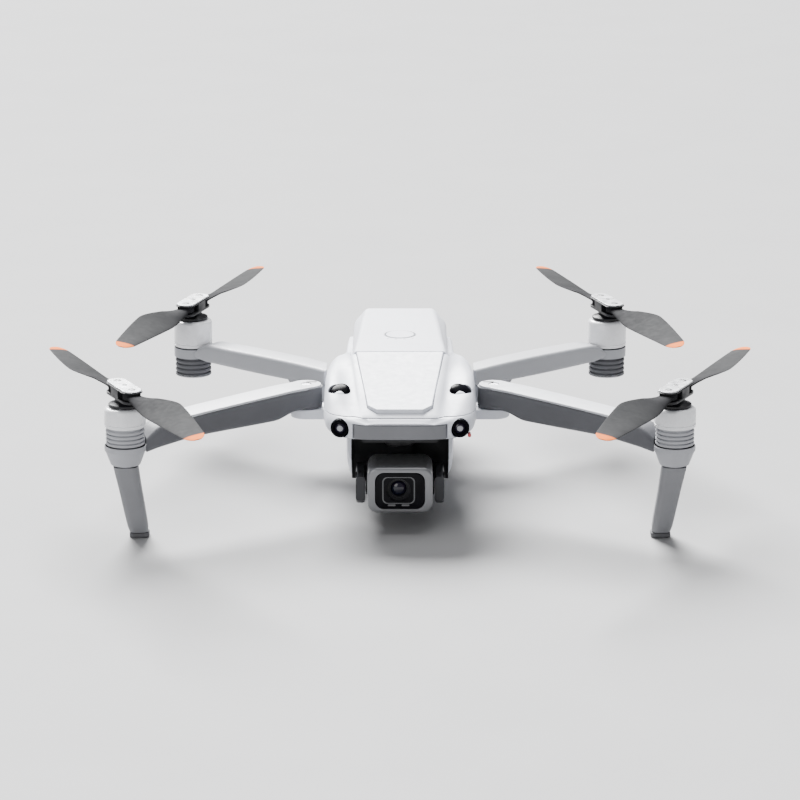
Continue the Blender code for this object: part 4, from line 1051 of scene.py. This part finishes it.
def gimbal():
    """Yaw arm as packed, and the yoke that holds the camera from both sides."""
    carry("gimbal_yaw_arm", DARK, 0.3)
    centre, half = middle("camera_body"), 19.3
    roll = joint_place("gimbal_roll")
    yoke = rod("roll_yoke", Vector((0, -47.4, roll.z)), Vector((0, -44.1, roll.z)), 8.0, GRAPHITE, 64, 0.4)
    settle(yoke)
    join(yoke, pillow("yoke_back", (-half, -47.35, 16.0), (half, -44.5, 24.4), "Y", 2.0, 0.8, GRAPHITE))
    front, back = -69.8, -44.55
    for side in SIDES.values():
        rings = []
        for i in range(25):
            y = front + (back - front) * i / 24
            low, high = smooth(YOKE_SIDE, y)
            place = Vector((side * 17.25, y, (low + high) / 2))
            rings.append(rounded_ring(place, X, UP, 2.03, (high - low) / 2, 1.3))
        join(yoke, loft("yoke_side", rings, GRAPHITE))
    dress(resharpen(yoke), "gimbal_roll", "dark", "gimbal_roll_arm")
    for suffix, side in SIDES.items():
        place = Vector((side * 19.25, centre.y, centre.z))
        dress(turned(f"tilt_cap_{suffix}", TILT_CAP, place, X * side, DARK, 48), "gimbal_roll", "dark")


# How far the lens sits beside the middle of the camera
LENS_X = -0.6
LENS_STEPS = ((0, -9.0), (6.0, -9.0), (6.0, -2.0), (5.2, -2.0), (4.9, -2.6), (4.4, -2.6), (4.2, -3.2),
              (3.7, -3.2), (3.5, -4.0), (0, -4.0))
LENS_DOME = ((0, -4.0), (3.45, -4.0), (3.3, -3.5), (2.6, -2.9), (1.4, -2.45), (0, -2.3))


def camera():
    """Rounded shell with a dark window in front, and the lens in a hole through it."""
    low, high = low_high("camera_body")
    centre = Vector((0, (low.y + high.y) / 2, (low.z + high.z) / 2))
    half, z = 14.2, centre.z
    start, end = (-half, low.y, low.z), (half, high.y, high.z)
    body = pillow("camera_shell", start, end, "Y", 4.4, 1.3, CAMERA_SHELL, 10)
    start, end = (-10.9, low.y - 8, z - 8.5), (10.9, low.y + 2.2, z + 8.0)
    eye = Vector((LENS_X, low.y, z))
    cut(body, pillow("seat", start, end, "Y", 4.0, 0.3, DARK, 10),
        rod("bore", eye - Y * 8, eye + Y * 9.8, 6.3, DARK, 64))
    for side in SIDES.values():
        join(body, rod("stub", centre + X * side * 12.0, centre + X * side * 14.9, 5.0, DARK, 48))
    dress(resharpen(body), "camera", "silver", "camera_body")
    start, end = (-10.6, low.y + 0.25, z - 8.25), (10.6, low.y + 1.9, z + 7.75)
    glass = pillow("camera_window", start, end, "Y", 3.8, 0.35, GLASS, 10)
    cut(glass, rod("hole", eye - Y * 5, eye + Y * 5, 5.3, GLASS, 64))
    dress(resharpen(glass), "camera", "glass", "front_glass")
    dress(turned("lens_tube", LENS_STEPS, eye, -Y, DARK, 72), "camera", "dark", "lens_barrel")
    dress(turned("lens_dome", LENS_DOME, eye, -Y, COATED), "camera", "lens")
    # grey squarish frame on the window, round the lens
    loops = []
    for half_u, half_v, radius, depth in ((7.1, 6.0, 2.2, 0.28), (7.1, 6.0, 2.2, 0.1),
                                          (6.55, 5.65, 2.0, 0.1), (6.55, 5.65, 2.0, 0.28)):
        loops.append(rounded_ring(eye + Y * depth, X, UP, half_u, half_v, radius))
    dress(closed_band("lens_frame", loops, FRAME_MARK), "camera", "silver")
    for number, x in enumerate((-3.6, 2.4)):
        start, end = (x - 1.7, low.y + 0.12, z - 7.1), (x + 1.7, low.y + 0.3, z - 6.3)
        dash = pillow(f"window_dash_{number + 1}", start, end, "Y", 0.35, 0.06, FRAME_MARK, 4)
        dress(dash, "camera", "silver")


# ---- stage

def aimed(name, data, place, target):
    """Puts a light or a camera at a place in metres, facing a target."""
    obj = bpy.data.objects.new(name, data)
    obj.location = place
    obj.rotation_mode = "QUATERNION"
    obj.rotation_quaternion = (Vector(target) - Vector(place)).to_track_quat("-Z", "Y")
    bpy.context.scene.collection.objects.link(obj)
    return obj


def lamp(name, kind, place, target, size, power):
    """A soft light: a square panel of a width in metres, or a broad sun of an angle in radians."""
    light = bpy.data.lights.new(name, kind)
    light.energy = power
    if kind == "AREA":
        light.shape, light.size = "SQUARE", size
    else:
        light.angle = size
    aimed(name, light, place, target)


FLOOR_HALF = 40000.0


def stage():
    """Wide pale floor, an even sky and three soft lights, the strongest from behind."""
    n = Nodes("pale_floor")
    tone = n.mix(n.spread(n.noise(60.0), 0.0, 1.0), (0.30, 0.30, 0.303), (0.315, 0.315, 0.318))
    n.finish(tone, None, Roughness=0.75)
    bm = bmesh.new()
    bmesh.ops.create_grid(bm, x_segments=2, y_segments=2, size=FLOOR_HALF)
    floor = piece("floor", bm, n.material)
    floor.location.z = -0.0002
    world = bpy.data.worlds.new("studio")
    world.use_nodes = True
    background = world.node_tree.nodes["Background"]
    background.inputs["Color"].default_value = (0.93, 0.95, 1.0, 1.0)
    background.inputs["Strength"].default_value = 0.32
    bpy.context.scene.world = world
    target = (0, 0, 0.04)
    lamp("key", "SUN", (-0.30, 1.15, 1.05), target, math.radians(34), 19.0)
    lamp("top", "AREA", (0.25, -0.05, 1.5), target, 1.0, 12.0)
    lamp("fill", "AREA", (-0.7, -1.4, 0.6), target, 0.9, 8.0)


def look():
    """Camera in front of the nose, a little above, far enough away to flatten the view."""
    elevation, distance = math.radians(14.8), 1.827
    target = Vector((0, 0.0022, 0.040))
    back = Vector((0, -math.cos(elevation), math.sin(elevation)))
    data = bpy.data.cameras.new("view")
    data.sensor_width, data.lens = 36.0, 182.0
    data.clip_start, data.clip_end = 0.01, 100.0
    bpy.context.scene.camera = aimed("view", data, target + back * distance, target)


body_casing()
hinge_shelves()
recess_shade_liner()
nose_pieces()
eyes()
inner_nodes()
battery()
for suffix, side in SIDES.items():
    front_arm(suffix, side)
    leg(suffix, side)
    rear_arm(suffix, side)
    for end in ("front", "rear"):
        motor(end, suffix)
        prop_hub(end, suffix)
        for number in (1, 2):
            blade(end, suffix, number)
gimbal()
camera()
stage()
look()
